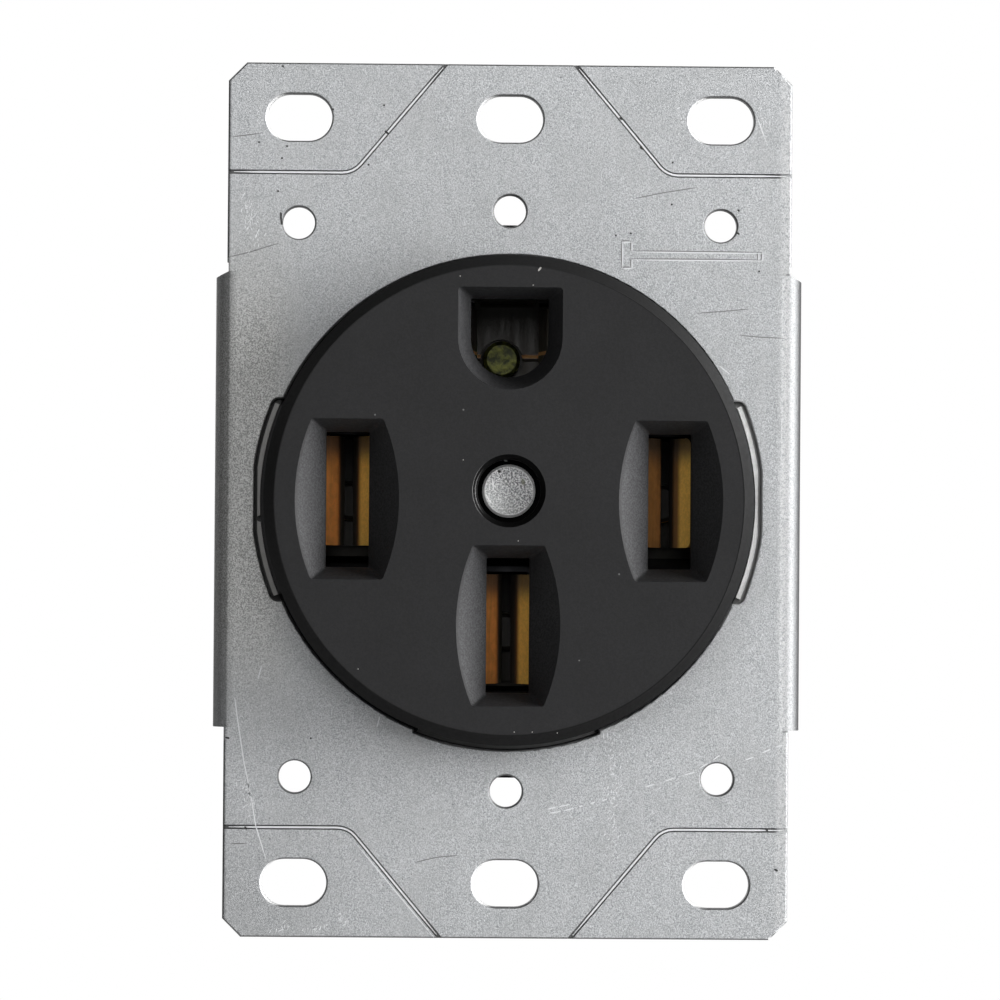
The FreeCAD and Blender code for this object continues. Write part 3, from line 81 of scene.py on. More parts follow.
class Shader:
    """A material's node tree, with short ways to add the nodes used here."""

    SPECK_CORE = 0.4

    def __init__(self, name):
        self.material = bpy.data.materials.new(name)
        self.material.use_nodes = True
        self.tree = self.material.node_tree
        self.surface = self.tree.nodes["Principled BSDF"]
        self.place = self.tree.nodes.new("ShaderNodeTexCoord").outputs["Object"]

    def put(self, socket, value):
        if isinstance(value, bpy.types.NodeSocket):
            self.tree.links.new(value, socket)
        elif isinstance(value, tuple) and len(value) == 3 and socket.type == "RGBA":
            socket.default_value = (*value, 1)
        else:
            socket.default_value = value

    def set(self, name, value):
        self.put(self.surface.inputs[name], value)

    def tone(self):
        """The colour that the surface has so far."""
        return self.surface.inputs["Base Color"].links[0].from_socket

    def normal(self):
        """The surface's normal, as its X, Y and Z outputs."""
        return self.parts(self.tree.nodes.new("ShaderNodeNewGeometry").outputs["Normal"])

    def math(self, operation, first, second=0.0, third=0.0):
        node = self.tree.nodes.new("ShaderNodeMath")
        node.operation = operation
        for socket, value in zip(node.inputs, (first, second, third)):
            self.put(socket, value)
        return node.outputs[0]

    def every(self, first, *others):
        """1 where every mask is 1: their product."""
        for other in others:
            first = self.math("MULTIPLY", first, other)
        return first

    def vector(self, operation, first, second=(0, 0, 0)):
        node = self.tree.nodes.new("ShaderNodeVectorMath")
        node.operation = operation
        self.put(node.inputs[0], first)
        self.put(node.inputs[1], second)
        return node.outputs["Value" if operation in ("LENGTH", "DISTANCE", "DOT_PRODUCT") else "Vector"]

    def scale(self, vector, share):
        node = self.tree.nodes.new("ShaderNodeVectorMath")
        node.operation = "SCALE"
        self.put(node.inputs[0], vector)
        self.put(node.inputs["Scale"], share)
        return node.outputs[0]

    def parts(self, vector):
        node = self.tree.nodes.new("ShaderNodeSeparateXYZ")
        self.put(node.inputs[0], vector)
        return node.outputs

    def flat_place(self):
        """The place seen from the front, as (x, z, 0) in millimetres."""
        across, _, up = self.parts(self.place)
        node = self.tree.nodes.new("ShaderNodeCombineXYZ")
        self.put(node.inputs[0], self.math("MULTIPLY", across, 1 / MM))
        self.put(node.inputs[1], self.math("MULTIPLY", up, 1 / MM))
        return node.outputs[0]

    def noise(self, per_metre, detail=2.0, roughness=0.5, stretch=None, warp=0.0):
        place = self.place if stretch is None else self.vector("MULTIPLY", self.place, stretch)
        node = self.tree.nodes.new("ShaderNodeTexNoise")
        self.put(node.inputs["Vector"], place)
        node.inputs["Scale"].default_value = per_metre
        node.inputs["Detail"].default_value = detail
        node.inputs["Roughness"].default_value = roughness
        node.inputs["Distortion"].default_value = warp
        return node.outputs["Fac"]

    def specks(self, per_metre, share, size):
        """1 on small round specks, in a share of the cells."""
        cell = self.tree.nodes.new("ShaderNodeTexVoronoi")
        self.put(cell.inputs["Vector"], self.place)
        cell.inputs["Scale"].default_value = per_metre
        lucky = self.math("GREATER_THAN", self.parts(cell.outputs["Color"])[0], 1 - share)
        return self.every(lucky, self.band(cell.outputs["Distance"], size, size * self.SPECK_CORE))

    def band(self, value, start, end, low=0.0, high=1.0):
        """A smooth step from low to high as value goes from start to end."""
        node = self.tree.nodes.new("ShaderNodeMapRange")
        node.interpolation_type = "SMOOTHSTEP"
        for name, item in (("Value", value), ("From Min", start), ("From Max", end),
                           ("To Min", low), ("To Max", high)):
            self.put(node.inputs[name], item)
        return node.outputs["Result"]

    def between(self, value, rise, fall):
        """1 from one soft edge to another, each given by where its step starts and ends."""
        return self.every(self.band(value, *rise), self.band(value, *fall))

    def mix(self, share, first, second):
        node = self.tree.nodes.new("ShaderNodeMix")
        node.data_type = "RGBA"
        self.put(node.inputs["Factor"], share)
        self.put(node.inputs["A"], first)
        self.put(node.inputs["B"], second)
        return node.outputs["Result"]

    def lay(self, tone, colour, mask, share=1.0):
        """A colour laid over a tone where the mask is 1, by the share given."""
        return self.mix(self.math("MULTIPLY", mask, share), tone, colour)

    def bump(self, height, depth, strength):
        """Adds a relief to those that the surface already has."""
        node = self.tree.nodes.new("ShaderNodeBump")
        self.put(node.inputs["Height"], height)
        node.inputs["Distance"].default_value = depth
        node.inputs["Strength"].default_value = strength
        below = self.surface.inputs["Normal"]
        if below.is_linked:
            self.tree.links.new(below.links[0].from_socket, node.inputs["Normal"])
        self.tree.links.new(node.outputs["Normal"], below)


def wear(nodes_named, shader):
    for name in nodes_named:
        mesh = nodes[name].data
        mesh.materials.clear()
        mesh.materials.append(shader.material)


# How much longer a stroke is than the way between its points, so that its tapered ends reach them.
STROKE_REACH = 1.15


def stroke(shader, place, start, end, width, soft=0.5):
    """1 on a stroke with tapered ends between two points in millimetres."""
    along = end - start
    node = shader.tree.nodes.new("ShaderNodeMapping")
    node.vector_type = "TEXTURE"
    shader.put(node.inputs["Vector"], place)
    node.inputs["Location"].default_value = (*(start + end) / 2, 0)
    node.inputs["Rotation"].default_value = (0, 0, math.atan2(along.y, along.x))
    node.inputs["Scale"].default_value = (max(along.length * STROKE_REACH, width), width, 1)
    return shader.band(shader.vector("LENGTH", node.outputs[0]), 0.5, 0.5 - 0.5 * soft)


def strokes(shader, place, lines, width, where):
    """1 on a set of lines, each a list of two or more points in the photograph's pixels."""
    total = 0.0
    for line in lines:
        points = [where(*point) for point in line]
        for start, end in zip(points, points[1:]):
            total = shader.math("MAXIMUM", total, stroke(shader, place, start, end, width))
    return total


def shade(colour, share):
    return tuple(part * share for part in colour)


WHITE = (1.0, 1.0, 1.0)
# A near black for painted shade on the cover's chamfer and rivet well.
SHADE_BLACK = (0.003, 0.003, 0.003)
# A dark brown for painted shade on metals that lie deep.
SHADE_BROWN = (0.09, 0.08, 0.065)

# The front's colours were matched under lamps that gave this share of the present light.
LAMP_SHARE = 1 / 1.3

# The strap's zinc.
ZINC_DARK = (0.36, 0.375, 0.39)
ZINC_PALE = (0.86, 0.875, 0.89)
ZINC_CLUMP = (0.60, 0.61, 0.62)
ZINC_STAIN = (0.50, 0.51, 0.51)
ZINC_ROLLED = (0.72, 0.73, 0.74)
ZINC_PIT = (0.12, 0.12, 0.12)
ZINC_GLINT = (0.95, 0.96, 0.97)
MOTTLE_DARK = (0.30, 0.30, 0.285)
MOTTLE_PALE = (0.94, 0.94, 0.92)
# Painted shade for the strap's bottom left corner.
CORNER_PAINTED_SHADE = (0.30, 0.30, 0.30)
# Painted shade and highlight for the strap's cut rims.
RIM_PAINTED_SHADE = (0.10, 0.10, 0.10)
RIM_PAINTED_HALF_SHADE = (0.5, 0.5, 0.5)
RIM_PAINTED_HIGHLIGHT = (0.95, 0.95, 0.95)
# Painted highlight for the grains along the right fold.
FOLD_PAINTED_GLINT = (0.95, 0.95, 0.95)
ROLLING_STRETCH = (1, 1, 0.12)

# Places on the strap. A pair is where a smooth step in its look starts and ends.
COVER_MIDDLE_UP = 0.003
COARSE_LEFT = (-0.021, -0.027)
COARSE_REACH = (0.032, 0.012)
CORNER_LEFT = (-0.010, -0.027)
CORNER_DOWN = (-0.032, -0.042)
BEHIND_FACE = (STRAP_FRONT + 0.000004, STRAP_FRONT + 0.00003)
FLAT_SIDES = (0.0297, 0.0294)
EARS_UP = (0.0262, 0.0264)
LEFT_HALF = (0.0, -0.01)
LONG_HOLES_UP = (0.037, 0.038)
LONG_HOLES_SIDES = (0.0292, 0.0288)
OPENING_RIGHT = (0.022, 0.024)
OPENING_REACH = (0.019, 0.017)
FOLD_RISE, FOLD_FALL = (0.0292, 0.0298), (0.0314, 0.0311)
RIGHT_EARS_UP = (0.0248, 0.0251)
RIGHT_EAR_EDGE = (0.0285, 0.0288)
FOLDED_DEPTH = (0.0005, 0.0015)

# Painted shade over a fold, where it turns away: a step's start and end, and the share of the tone before
# and after it.
RIGHT_FOLD_STEPS = (0.0297, 0.0306, 1.0, 0.42), (0.0308, 0.0317, 1.0, 0.75)
LEFT_FOLD_STEPS = (-0.0303, -0.0306, 1.0, 0.52), (-0.0308, -0.0314, 1.0, 0.72)
OUTER_RIM_STEP = (0.0315, 0.0319, 1.0, 0.3)
# Painted shade on the right ears' edges that face the light, and on the folded sides.
RIGHT_EAR_EDGE_SHADE = 0.55
FOLDED_SIDE_SHADE = 0.5

# Parts of a normal: how far it must lean to the back, or to the right, to count.
NOT_TO_THE_BACK = (0.5, 0.2)
TO_THE_RIGHT = (0.1, 0.4)
WELL_TO_THE_RIGHT = (0.2, 0.6)


def zinc(s, grain):
    """Zinc's own tone: speckle, clumps, stains and rolling marks, with dark pits and glints."""
    clumps = s.noise(1900, 3, 0.6)
    stains = s.noise(150, 4, 0.6)
    rolling = s.noise(900, 3, 0.6, stretch=ROLLING_STRETCH)
    tone = s.mix(s.band(grain, 0.36, 0.64), ZINC_DARK, ZINC_PALE)
    tone = s.mix(s.band(clumps, 0.35, 0.7, high=0.35), tone, ZINC_CLUMP)
    tone = s.mix(s.band(stains, 0.4, 0.7, high=0.3), tone, ZINC_STAIN)
    tone = s.mix(s.band(rolling, 0.4, 0.7, high=0.2), tone, ZINC_ROLLED)
    tone = s.lay(tone, ZINC_PIT, s.specks(900, share=0.16, size=0.13), share=0.5)
    return s.lay(tone, ZINC_GLINT, s.specks(1500, share=0.3, size=0.2), share=0.5)


def fold_painted_shade(s, across, depth, up, facing):
    """The share of the tone left by painted shade over the folds, the right ears' edges and the folded
    sides.
    """
    sideways = s.math("ABSOLUTE", across)
    ear_edge = s.every(s.band(facing, *WELL_TO_THE_RIGHT), s.band(across, *RIGHT_EAR_EDGE))
    ears = s.every(s.band(s.math("ABSOLUTE", up), *RIGHT_EARS_UP),
                   s.math("MULTIPLY_ADD", ear_edge, -RIGHT_EAR_EDGE_SHADE, 1.0))
    right = s.math("MAXIMUM", s.every(*(s.band(across, *step) for step in RIGHT_FOLD_STEPS)), ears)
    left = s.every(*(s.band(across, *step) for step in LEFT_FOLD_STEPS))
    kept = s.every(left, right, s.band(sideways, *OUTER_RIM_STEP))
    return s.math("MAXIMUM", kept, s.band(depth, *FOLDED_DEPTH, high=FOLDED_SIDE_SHADE))


def galvanised():
    """Zinc-plated sheet: coarser beside the cover, with painted shade on its cut rims, folds and bottom left
    corner, and painted highlights on some rims and along the right fold.
    """
    s = Shader("galvanised_sheet")
    grain = s.noise(6500, 3, 0.8)
    across, depth, up = s.parts(s.place)
    facing, facing_back, _ = s.normal()
    sideways, upwards = s.math("ABSOLUTE", across), s.math("ABSOLUTE", up)
    from_middle = s.math("ABSOLUTE", s.math("SUBTRACT", up, COVER_MIDDLE_UP))
    tone = zinc(s, grain)

    # The sheet is coarser and mottled beside the cover's left edge, and greyed by painted shade in its
    # bottom left corner, away from the light.
    coarse = s.every(s.band(across, *COARSE_LEFT), s.band(from_middle, *COARSE_REACH))
    mottle = s.mix(s.band(s.noise(6200, 3, 0.8), 0.4, 0.6), MOTTLE_DARK, MOTTLE_PALE)
    tone = s.lay(tone, mottle, coarse, share=0.8)
    corner = s.every(s.band(across, *CORNER_LEFT), s.band(up, *CORNER_DOWN))
    tone = s.lay(tone, CORNER_PAINTED_SHADE, corner, share=0.25)

    # Painted shade darkens the cut rims, and a painted highlight brightens those that face right, towards
    # the light, at the left of the long holes; lighter painted shade greys them at the opening's right.
    left_ears = s.every(s.band(upwards, *EARS_UP), s.band(across, *LEFT_HALF))
    flat_part = s.math("MAXIMUM", s.band(sideways, *FLAT_SIDES), left_ears)
    cut = s.every(s.band(depth, *BEHIND_FACE), flat_part, s.band(facing_back, *NOT_TO_THE_BACK))
    long_hole = s.every(s.band(upwards, *LONG_HOLES_UP), s.band(sideways, *LONG_HOLES_SIDES))
    rim = s.mix(s.every(s.band(facing, *TO_THE_RIGHT), long_hole), RIM_PAINTED_SHADE, RIM_PAINTED_HIGHLIGHT)
    opening_right = s.every(s.band(across, *OPENING_RIGHT), s.band(from_middle, *OPENING_REACH))
    tone = s.lay(tone, s.mix(opening_right, rim, RIM_PAINTED_HALF_SHADE), cut, share=0.85)

    # Painted highlight: bright grains along the right fold, which turns to the light.
    grains = s.band(s.noise(3600, 3, 0.75), 0.42, 0.58)
    tone = s.lay(tone, FOLD_PAINTED_GLINT, s.every(s.between(across, FOLD_RISE, FOLD_FALL), grains), share=0.5)

    # Painted shade over the folds, the right ears' edges and the folded sides.
    kept = fold_painted_shade(s, across, depth, up, facing)
    s.set("Base Color", s.scale(tone, s.math("MULTIPLY", kept, LAMP_SHARE)))
    s.set("Specular IOR Level", 0.5 * LAMP_SHARE)
    s.set("Metallic", 0.5)
    s.set("Roughness", s.band(grain, 0.3, 0.7, 0.42, 0.6))
    s.bump(grain, depth=0.00004, strength=0.7)
    return s


# The moulded plastic, and how much paler its clouds are.
COVER_CHARCOAL = (0.0185, 0.0185, 0.0195)
BASE_CHARCOAL = (0.026, 0.026, 0.027)
CLOUD_LIFT = 1.35


def moulded_black(name, charcoal):
    """Hard moulded plastic: charcoal, with a fine grain."""
    s = Shader(name)
    grain = s.noise(2600, 3, 0.6)
    cloud = s.noise(120, 2)
    colour = shade(charcoal, LAMP_SHARE)
    s.set("Base Color", s.mix(s.band(cloud, 0.35, 0.7, high=0.3), colour, shade(colour, CLOUD_LIFT)))
    s.set("Roughness", s.band(grain, 0.3, 0.7, 0.56, 0.66))
    s.set("Specular IOR Level", 0.32 * LAMP_SHARE)
    s.bump(grain, depth=0.00002, strength=0.5)
    return s


# Places on the cover. Heights and depths are in metres, and radii in millimetres.
BELOW_FACE = (COVER_FACE + 0.0001, COVER_FACE + 0.0004)
INSIDE_CHAMFER = (24.9, 24.6)
CHAMFER = (25.1, 25.3)
LOW_CHAMFER_UP = (0.020, 0.002)
SLOPE_LEAN = (0.3, 0.7)
GROUND_RECESS_UP = (0.009, 0.011)
# How much painted light lightens the right-facing slopes of the blade and ground recesses.
BLADE_SLOPE_PAINTED_LIGHT = 2.0
GROUND_SLOPE_PAINTED_LIGHT = 1.45
WELL_RADIUS = (4.1, 4.0)
WELL_DEPTH = (COVER_FACE, COVER_FACE + 0.00005)
WELL_LEFT = (-0.0026, -0.0036)
OUTER_ARC = (3.88, 3.92), (4.01, 3.97)
INNER_ARC = (3.58, 3.62), (3.70, 3.66)
# Painted highlights in the rivet well: two arcs and a glint.
ARC_HIGHLIGHT = (0.09, 0.09, 0.09)
GLINT_PIXELS = [[(504, 460), (508, 460.6)]]
GLINT_WHITE = (0.9, 0.9, 0.9)
SMALL_SPECK = (0.4, 0.4, 0.4)
PALE_SPECK = (0.6, 0.59, 0.57)


def cover_black():
    """The cover's plastic: specks of dust, painted shade on the chamfer and the rivet well, painted
    highlights in the well, and painted light on the grainy recess slopes.
    """
    s = moulded_black("moulded_cover", COVER_CHARCOAL)
    place = s.flat_place()
    away = s.vector("LENGTH", place)
    across, depth, up = s.parts(s.place)
    facing = s.normal()[0]

    # Painted light: the slopes that face right, towards the light, are lightened, fully in the recesses and
    # a little on the face.
    sunk = s.every(s.band(depth, *BELOW_FACE), s.band(away, *INSIDE_CHAMFER))
    grains = s.band(s.noise(5200, 2, 0.7), 0.35, 0.65, 0.6, 1.5)
    slope_painted_light = s.band(up, *GROUND_RECESS_UP, BLADE_SLOPE_PAINTED_LIGHT, GROUND_SLOPE_PAINTED_LIGHT)
    slope = s.band(facing, *SLOPE_LEAN, 1.0, slope_painted_light)
    share = s.math("MULTIPLY_ADD", sunk, 0.7, 0.3)
    lift = s.math("MULTIPLY_ADD", share, s.math("SUBTRACT", s.math("MULTIPLY", grains, slope), 1.0), 1.0)
    # Painted shade darkens the chamfer round the face.
    tone = s.mix(s.band(away, *CHAMFER, high=0.8), s.scale(s.tone(), lift), SHADE_BLACK)

    # Painted shade blackens the well round the rivet, with painted highlights on two thin arcs at its left
    # edge and on a glint at its top.
    from_rivet = s.vector("DISTANCE", place, (0, RIVET_UP, 0))
    in_well = s.every(s.band(from_rivet, *WELL_RADIUS), s.band(depth, *WELL_DEPTH))
    tone = s.lay(tone, SHADE_BLACK, in_well, share=0.95)
    lit_arcs = s.math("MAXIMUM", s.between(from_rivet, *OUTER_ARC), s.between(from_rivet, *INNER_ARC))
    tone = s.lay(tone, ARC_HIGHLIGHT, s.every(lit_arcs, s.band(across, *WELL_LEFT)), share=0.8)
    tone = s.mix(strokes(s, place, GLINT_PIXELS, 0.2, on_cover), tone, GLINT_WHITE)

    # A black metal shows no highlight, so the well and the chamfer's lower part are given as one.
    low_chamfer = s.every(s.band(away, *CHAMFER), s.band(up, *LOW_CHAMFER_UP, high=0.55))
    s.set("Metallic", s.math("MAXIMUM", s.math("MULTIPLY", in_well, 0.9), low_chamfer))
    tone = s.lay(tone, SMALL_SPECK, s.specks(420, share=0.12, size=0.06), share=0.3)
    tone = s.lay(tone, PALE_SPECK, s.specks(260, share=0.05, size=0.04), share=0.5)
    s.set("Base Color", tone)
    return s


# How metallic the bare metals are.
METAL = 0.95


def darken_with_depth(s, tone, shaded_depths, metal=METAL):
    """Sets the surface's colour and metal, darkened by painted shade between two depths where they are
    given.
    """
    if shaded_depths is None:
        s.set("Metallic", metal)
        s.set("Base Color", tone)
        return
    depth = s.parts(s.place)[1]
    s.set("Metallic", s.band(depth, *shaded_depths, metal, 0.0))
    s.set("Base Color", s.mix(s.band(depth, *shaded_depths), tone, SHADE_BROWN))


def brass(name, colour, stain, roughness=0.3, hammered=0.4, shaded_depths=None, metal=METAL):
    """Brass with dents and draw marks."""
    s = Shader(name)
    dents = s.noise(750, 3, 0.6, warp=0.6)
    streaks = s.noise(1400, 2, 0.5, stretch=(1, 1, 0.08))
    tone = s.mix(s.band(dents, 0.35, 0.65), colour, stain)
    darken_with_depth(s, s.mix(s.band(streaks, 0.5, 0.75, high=0.4), tone, shade(stain, 0.55)), shaded_depths, metal)
    s.set("Roughness", s.band(streaks, 0.3, 0.7, roughness, roughness + 0.2))
    s.bump(dents, depth=0.00012, strength=hammered)
    return s


# The blade contacts' lips: colours, with a painted golden highlight on the right lip and painted shade on
# its flank, at the top and deep inside, and where they change, from the middle, from the top and in depth.
LIP_COPPER = (1.0, 0.42, 0.12)
LIP_SHADED = (0.5, 0.24, 0.08)
LIP_HIGHLIGHT_GOLD = (1.0, 0.62, 0.14)
LIP_FLANK_SHADE = (0.20, 0.11, 0.045)
LIP_SPLIT = 0.0001
GOLD_START, GOLD_FULL = 0.0010, 0.0015
TOP_SHADE_START, TOP_SHADE_FULL = 0.0035, 0.0008
DEEP_SHADE = (-0.0006, 0.0020)


def blade_brass(contact, copper):
    """A blade contact's brass: copper at the left lip, a painted golden highlight on the right, and painted
    shade behind and above.
    """
    low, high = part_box(contact)
    middle = (low.x + high.x) / 2
    s = brass(contact + "_brass", copper, shade(copper, 0.8), 0.36, 0.5, metal=0.0)
    across, depth, up = s.parts(s.place)
    gold_highlight = s.mix(s.band(s.noise(2600, 3, 0.7), 0.4, 0.6), LIP_HIGHLIGHT_GOLD, shade(LIP_HIGHLIGHT_GOLD, 0.85))
    gold_highlight = s.mix(s.band(across, middle + GOLD_START, middle + GOLD_FULL), LIP_FLANK_SHADE, gold_highlight)
    tone = s.mix(s.band(across, middle - LIP_SPLIT, middle + LIP_SPLIT), s.tone(), gold_highlight)
    tone = s.mix(s.band(up, high.z - TOP_SHADE_START, high.z - TOP_SHADE_FULL, high=0.8), tone, SHADE_BROWN)
    s.set("Base Color", s.mix(s.band(depth, *DEEP_SHADE), tone, SHADE_BROWN))
    return s


def bright_steel(name, colour, roughness=0.32, shaded_depths=None):
    """Plated steel with draw marks."""
    s = Shader(name)
    streaks = s.noise(900, 3, 0.6, stretch=(1, 0.2, 1))
    darken_with_depth(s, s.mix(s.band(streaks, 0.3, 0.7), shade(colour, 0.8), colour), shaded_depths)
    s.set("Roughness", s.band(streaks, 0.3, 0.7, roughness, roughness + 0.15))
    s.bump(streaks, depth=0.00003, strength=0.4)
    return s


# The bonding yoke's plating: its colours, and where painted shade darkens its edge at the left, below and
# behind.
YOKE_PALE = (0.92, 0.92, 0.91)
YOKE_LEFT_SHADE = (0.055, 0.05, 0.045)
YOKE_SHADE = (0.02, 0.02, 0.02)
YOKE_LEFT = (0.02, -0.02)
YOKE_BELOW = (-0.022, -0.024)
YOKE_BEHIND = (-0.00115, -0.0009)
YOKE_BEHIND_SHARE = (0.02, 0.0, 0.45, 0.95)


def yoke_steel():
    """The bonding yoke's steel: its turned-up edge is bright at the right, with painted shade at the left in
    the cover's shadow, below, and behind in the gap.
    """
    s = bright_steel("yoke_plating", YOKE_PALE, 0.34)
    across, depth, up = s.parts(s.place)
    tone = s.mix(s.band(across, *YOKE_LEFT, high=0.78), s.tone(), YOKE_LEFT_SHADE)
    tone = s.mix(s.band(up, *YOKE_BELOW, high=0.93), tone, YOKE_SHADE)
    behind = s.every(s.band(depth, *YOKE_BEHIND), s.band(across, *YOKE_BEHIND_SHARE))
    s.set("Base Color", s.mix(behind, tone, YOKE_SHADE))
    s.set("Metallic", 0.4)
    return s


# The rivet's face: its colours, and the marks on it in the photograph's pixels, with widths in millimetres.
RIVET_DARK = (0.18, 0.18, 0.19)
RIVET_DENT = (0.22, 0.225, 0.25)
RIVET_PALE = (0.80, 0.82, 0.81)
RIVET_OLIVE = (0.16, 0.16, 0.10)
RIVET_RING = (0.2, 0.2, 0.2)
RIVET_SPOT = (0.95, 0.95, 0.95)
RIVET_SCRATCH = (0.10, 0.10, 0.10)
RIVET_PIT = (0.01, 0.01, 0.01)
RIVET_TONE = 0.95
RIVET_RIM = (2.45, 2.65)
PALE_SIDE = (-0.7, 0, -0.7)
PALE_STEP = (-0.002, 0.002)
OLIVE_PIXELS = (522.0, 478), (524.0, 487)
OLIVE_WIDTH = 0.65
RING_PIXEL = (505.7, 482)
RING_LINE = (0.14, 0.2), (0.32, 0.26)
RING_SPOT = (0.14, 0.08)
BRIGHT_PIXELS = [[(492.5, 479), (493.5, 491)], [(485, 494), (492, 505)], [(496, 469), (498, 475)]]
BRIGHT_WIDTH = 0.26
SCRATCH_PIXELS = [[(523, 498), (530, 506)], [(527, 496), (533, 502)]]
SCRATCH_WIDTH = 0.14
PIT_PIXELS = [[(497.8, 470.4), (500.2, 473.8)]]
PIT_WIDTH = 0.42


def dented_rivet():
    """The rivet's face: crushed and speckled, with a bright rim, a pit, two scratches and an olive stain."""
    s = Shader("crushed_rivet")
    dents = s.noise(2300, 3, 0.65, warp=0.8)
    sparkle = s.noise(5000, 2, 0.7)
    place = s.flat_place()
    tone = s.mix(s.band(sparkle, 0.43, 0.57), RIVET_DARK, WHITE)
    tone = s.mix(s.band(dents, 0.35, 0.62, 0.35, 0.0), tone, RIVET_DENT)
    pale = s.band(s.vector("DOT_PRODUCT", s.place, PALE_SIDE), *PALE_STEP, high=0.5)
    tone = s.mix(pale, tone, RIVET_PALE)
    away = s.vector("DISTANCE", place, (0, RIVET_UP, 0))
    tone = s.mix(s.band(away, *RIVET_RIM, high=0.75), tone, WHITE)
    start, end = (at_rivet(*pixel) for pixel in OLIVE_PIXELS)
    tone = s.lay(tone, RIVET_OLIVE, stroke(s, place, start, end, OLIVE_WIDTH, soft=0.8), share=0.8)
    from_ring = s.vector("DISTANCE", place, (*at_rivet(*RING_PIXEL), 0))
    tone = s.lay(tone, RIVET_RING, s.between(from_ring, *RING_LINE), share=0.6)
    tone = s.mix(s.band(from_ring, *RING_SPOT), tone, RIVET_SPOT)
    tone = s.mix(strokes(s, place, BRIGHT_PIXELS, BRIGHT_WIDTH, at_rivet), tone, WHITE)
    tone = s.lay(tone, RIVET_SCRATCH, strokes(s, place, SCRATCH_PIXELS, SCRATCH_WIDTH, at_rivet), share=0.7)
    tone = s.mix(strokes(s, place, PIT_PIXELS, PIT_WIDTH, at_rivet), tone, RIVET_PIT)
    s.set("Base Color", s.scale(tone, RIVET_TONE))
    s.set("Metallic", 0.2)
    s.set("Roughness", 0.38)
    s.bump(dents, depth=0.00012, strength=0.7)
    s.bump(sparkle, depth=0.00008, strength=0.8)
    return s


GREEN_DARK = (0.040, 0.046, 0.018)
GREEN_PALE = (0.20, 0.21, 0.045)


def green_plated():
    """The ground screw's green plating, worn in blotches."""
    s = Shader("green_plating")
    blotches = s.noise(1100, 3, 0.6)
    s.set("Base Color", s.mix(s.band(blotches, 0.38, 0.66), GREEN_DARK, GREEN_PALE))
    s.set("Metallic", 0.5)
    s.set("Roughness", 0.4)
    s.bump(blotches, depth=0.00015, strength=0.6)
    return s


# The ground contact's brass, darkened as painted shade where it lies deep, and the painted highlight on the
# bend of its bridge.
GROUND_SHADED_BRASS = (0.4, 0.25, 0.1)
GROUND_SHADED_STAIN = (0.3, 0.17, 0.06)
GROUND_SHADED_DEPTHS = (-0.004, -0.001)
BEND_LINE = (0.0161, 0.0162), (0.0166, 0.0165)
BEND_HIGHLIGHT = (0.95, 0.5, 0.2)


def ground_brass():
    """The ground contact's brass: dark with painted shade, with a painted highlight where its bridge is
    bent.
    """
    s = brass("ground_brass", GROUND_SHADED_BRASS, GROUND_SHADED_STAIN, shaded_depths=GROUND_SHADED_DEPTHS)
    up = s.parts(s.place)[2]
    s.set("Base Color", s.mix(s.between(up, *BEND_LINE), s.tone(), BEND_HIGHLIGHT))
    return s


# The hidden metals, and the depths between which painted shade darkens plates and screws towards the front,
# deep in their wells.
PLATE_BRASS, PLATE_STAIN = (0.7, 0.42, 0.16), (0.5, 0.28, 0.1)
SCREW_BRASS, SCREW_STAIN = (0.78, 0.55, 0.24), (0.6, 0.4, 0.15)
SCREW_SILVER = (0.7, 0.71, 0.72)
CLAMP_STEEL = (0.62, 0.63, 0.64)
CLIP_STEEL = (0.05, 0.05, 0.055)
PLATE_SHADED_DEPTHS = (0.0158, 0.0150)
SCREW_SHADED_DEPTHS = (0.0185, 0.0150)

wear(["strap"], galvanised())
wear(["bonding_yoke"], yoke_steel())
wear(["front_cover"], cover_black())
wear(["rear_base", "rear_cap"], moulded_black("moulded_base", BASE_CHARCOAL))
wear(["centre_rivet"], dented_rivet())
for contact, left_lip in (("hot_left_contact", LIP_COPPER), ("hot_right_contact", LIP_SHADED),
                          ("neutral_contact", LIP_COPPER)):
    wear([contact], blade_brass(contact, left_lip))
wear(["ground_contact"], ground_brass())
plate_brass = brass("terminal_plate_brass", PLATE_BRASS, PLATE_STAIN, 0.35, 0.2, PLATE_SHADED_DEPTHS)
wear([name for name in nodes if name.endswith("terminal_plate")], plate_brass)
wear([name for name in nodes if name.endswith("pressure_plate")], bright_steel("clamp_steel", CLAMP_STEEL))
wear([name for name in nodes if name.endswith("spring_clip")], bright_steel("clip_steel", CLIP_STEEL))
screw_brass = brass("screw_brass", SCREW_BRASS, SCREW_STAIN, 0.3, 0.2, SCREW_SHADED_DEPTHS)
wear(["hot_left_clamp_screw", "hot_right_clamp_screw"], screw_brass)
wear(["neutral_clamp_screw"], bright_steel("screw_silver", SCREW_SILVER, 0.28, SCREW_SHADED_DEPTHS))
wear(["ground_clamp_screw"], green_plated())


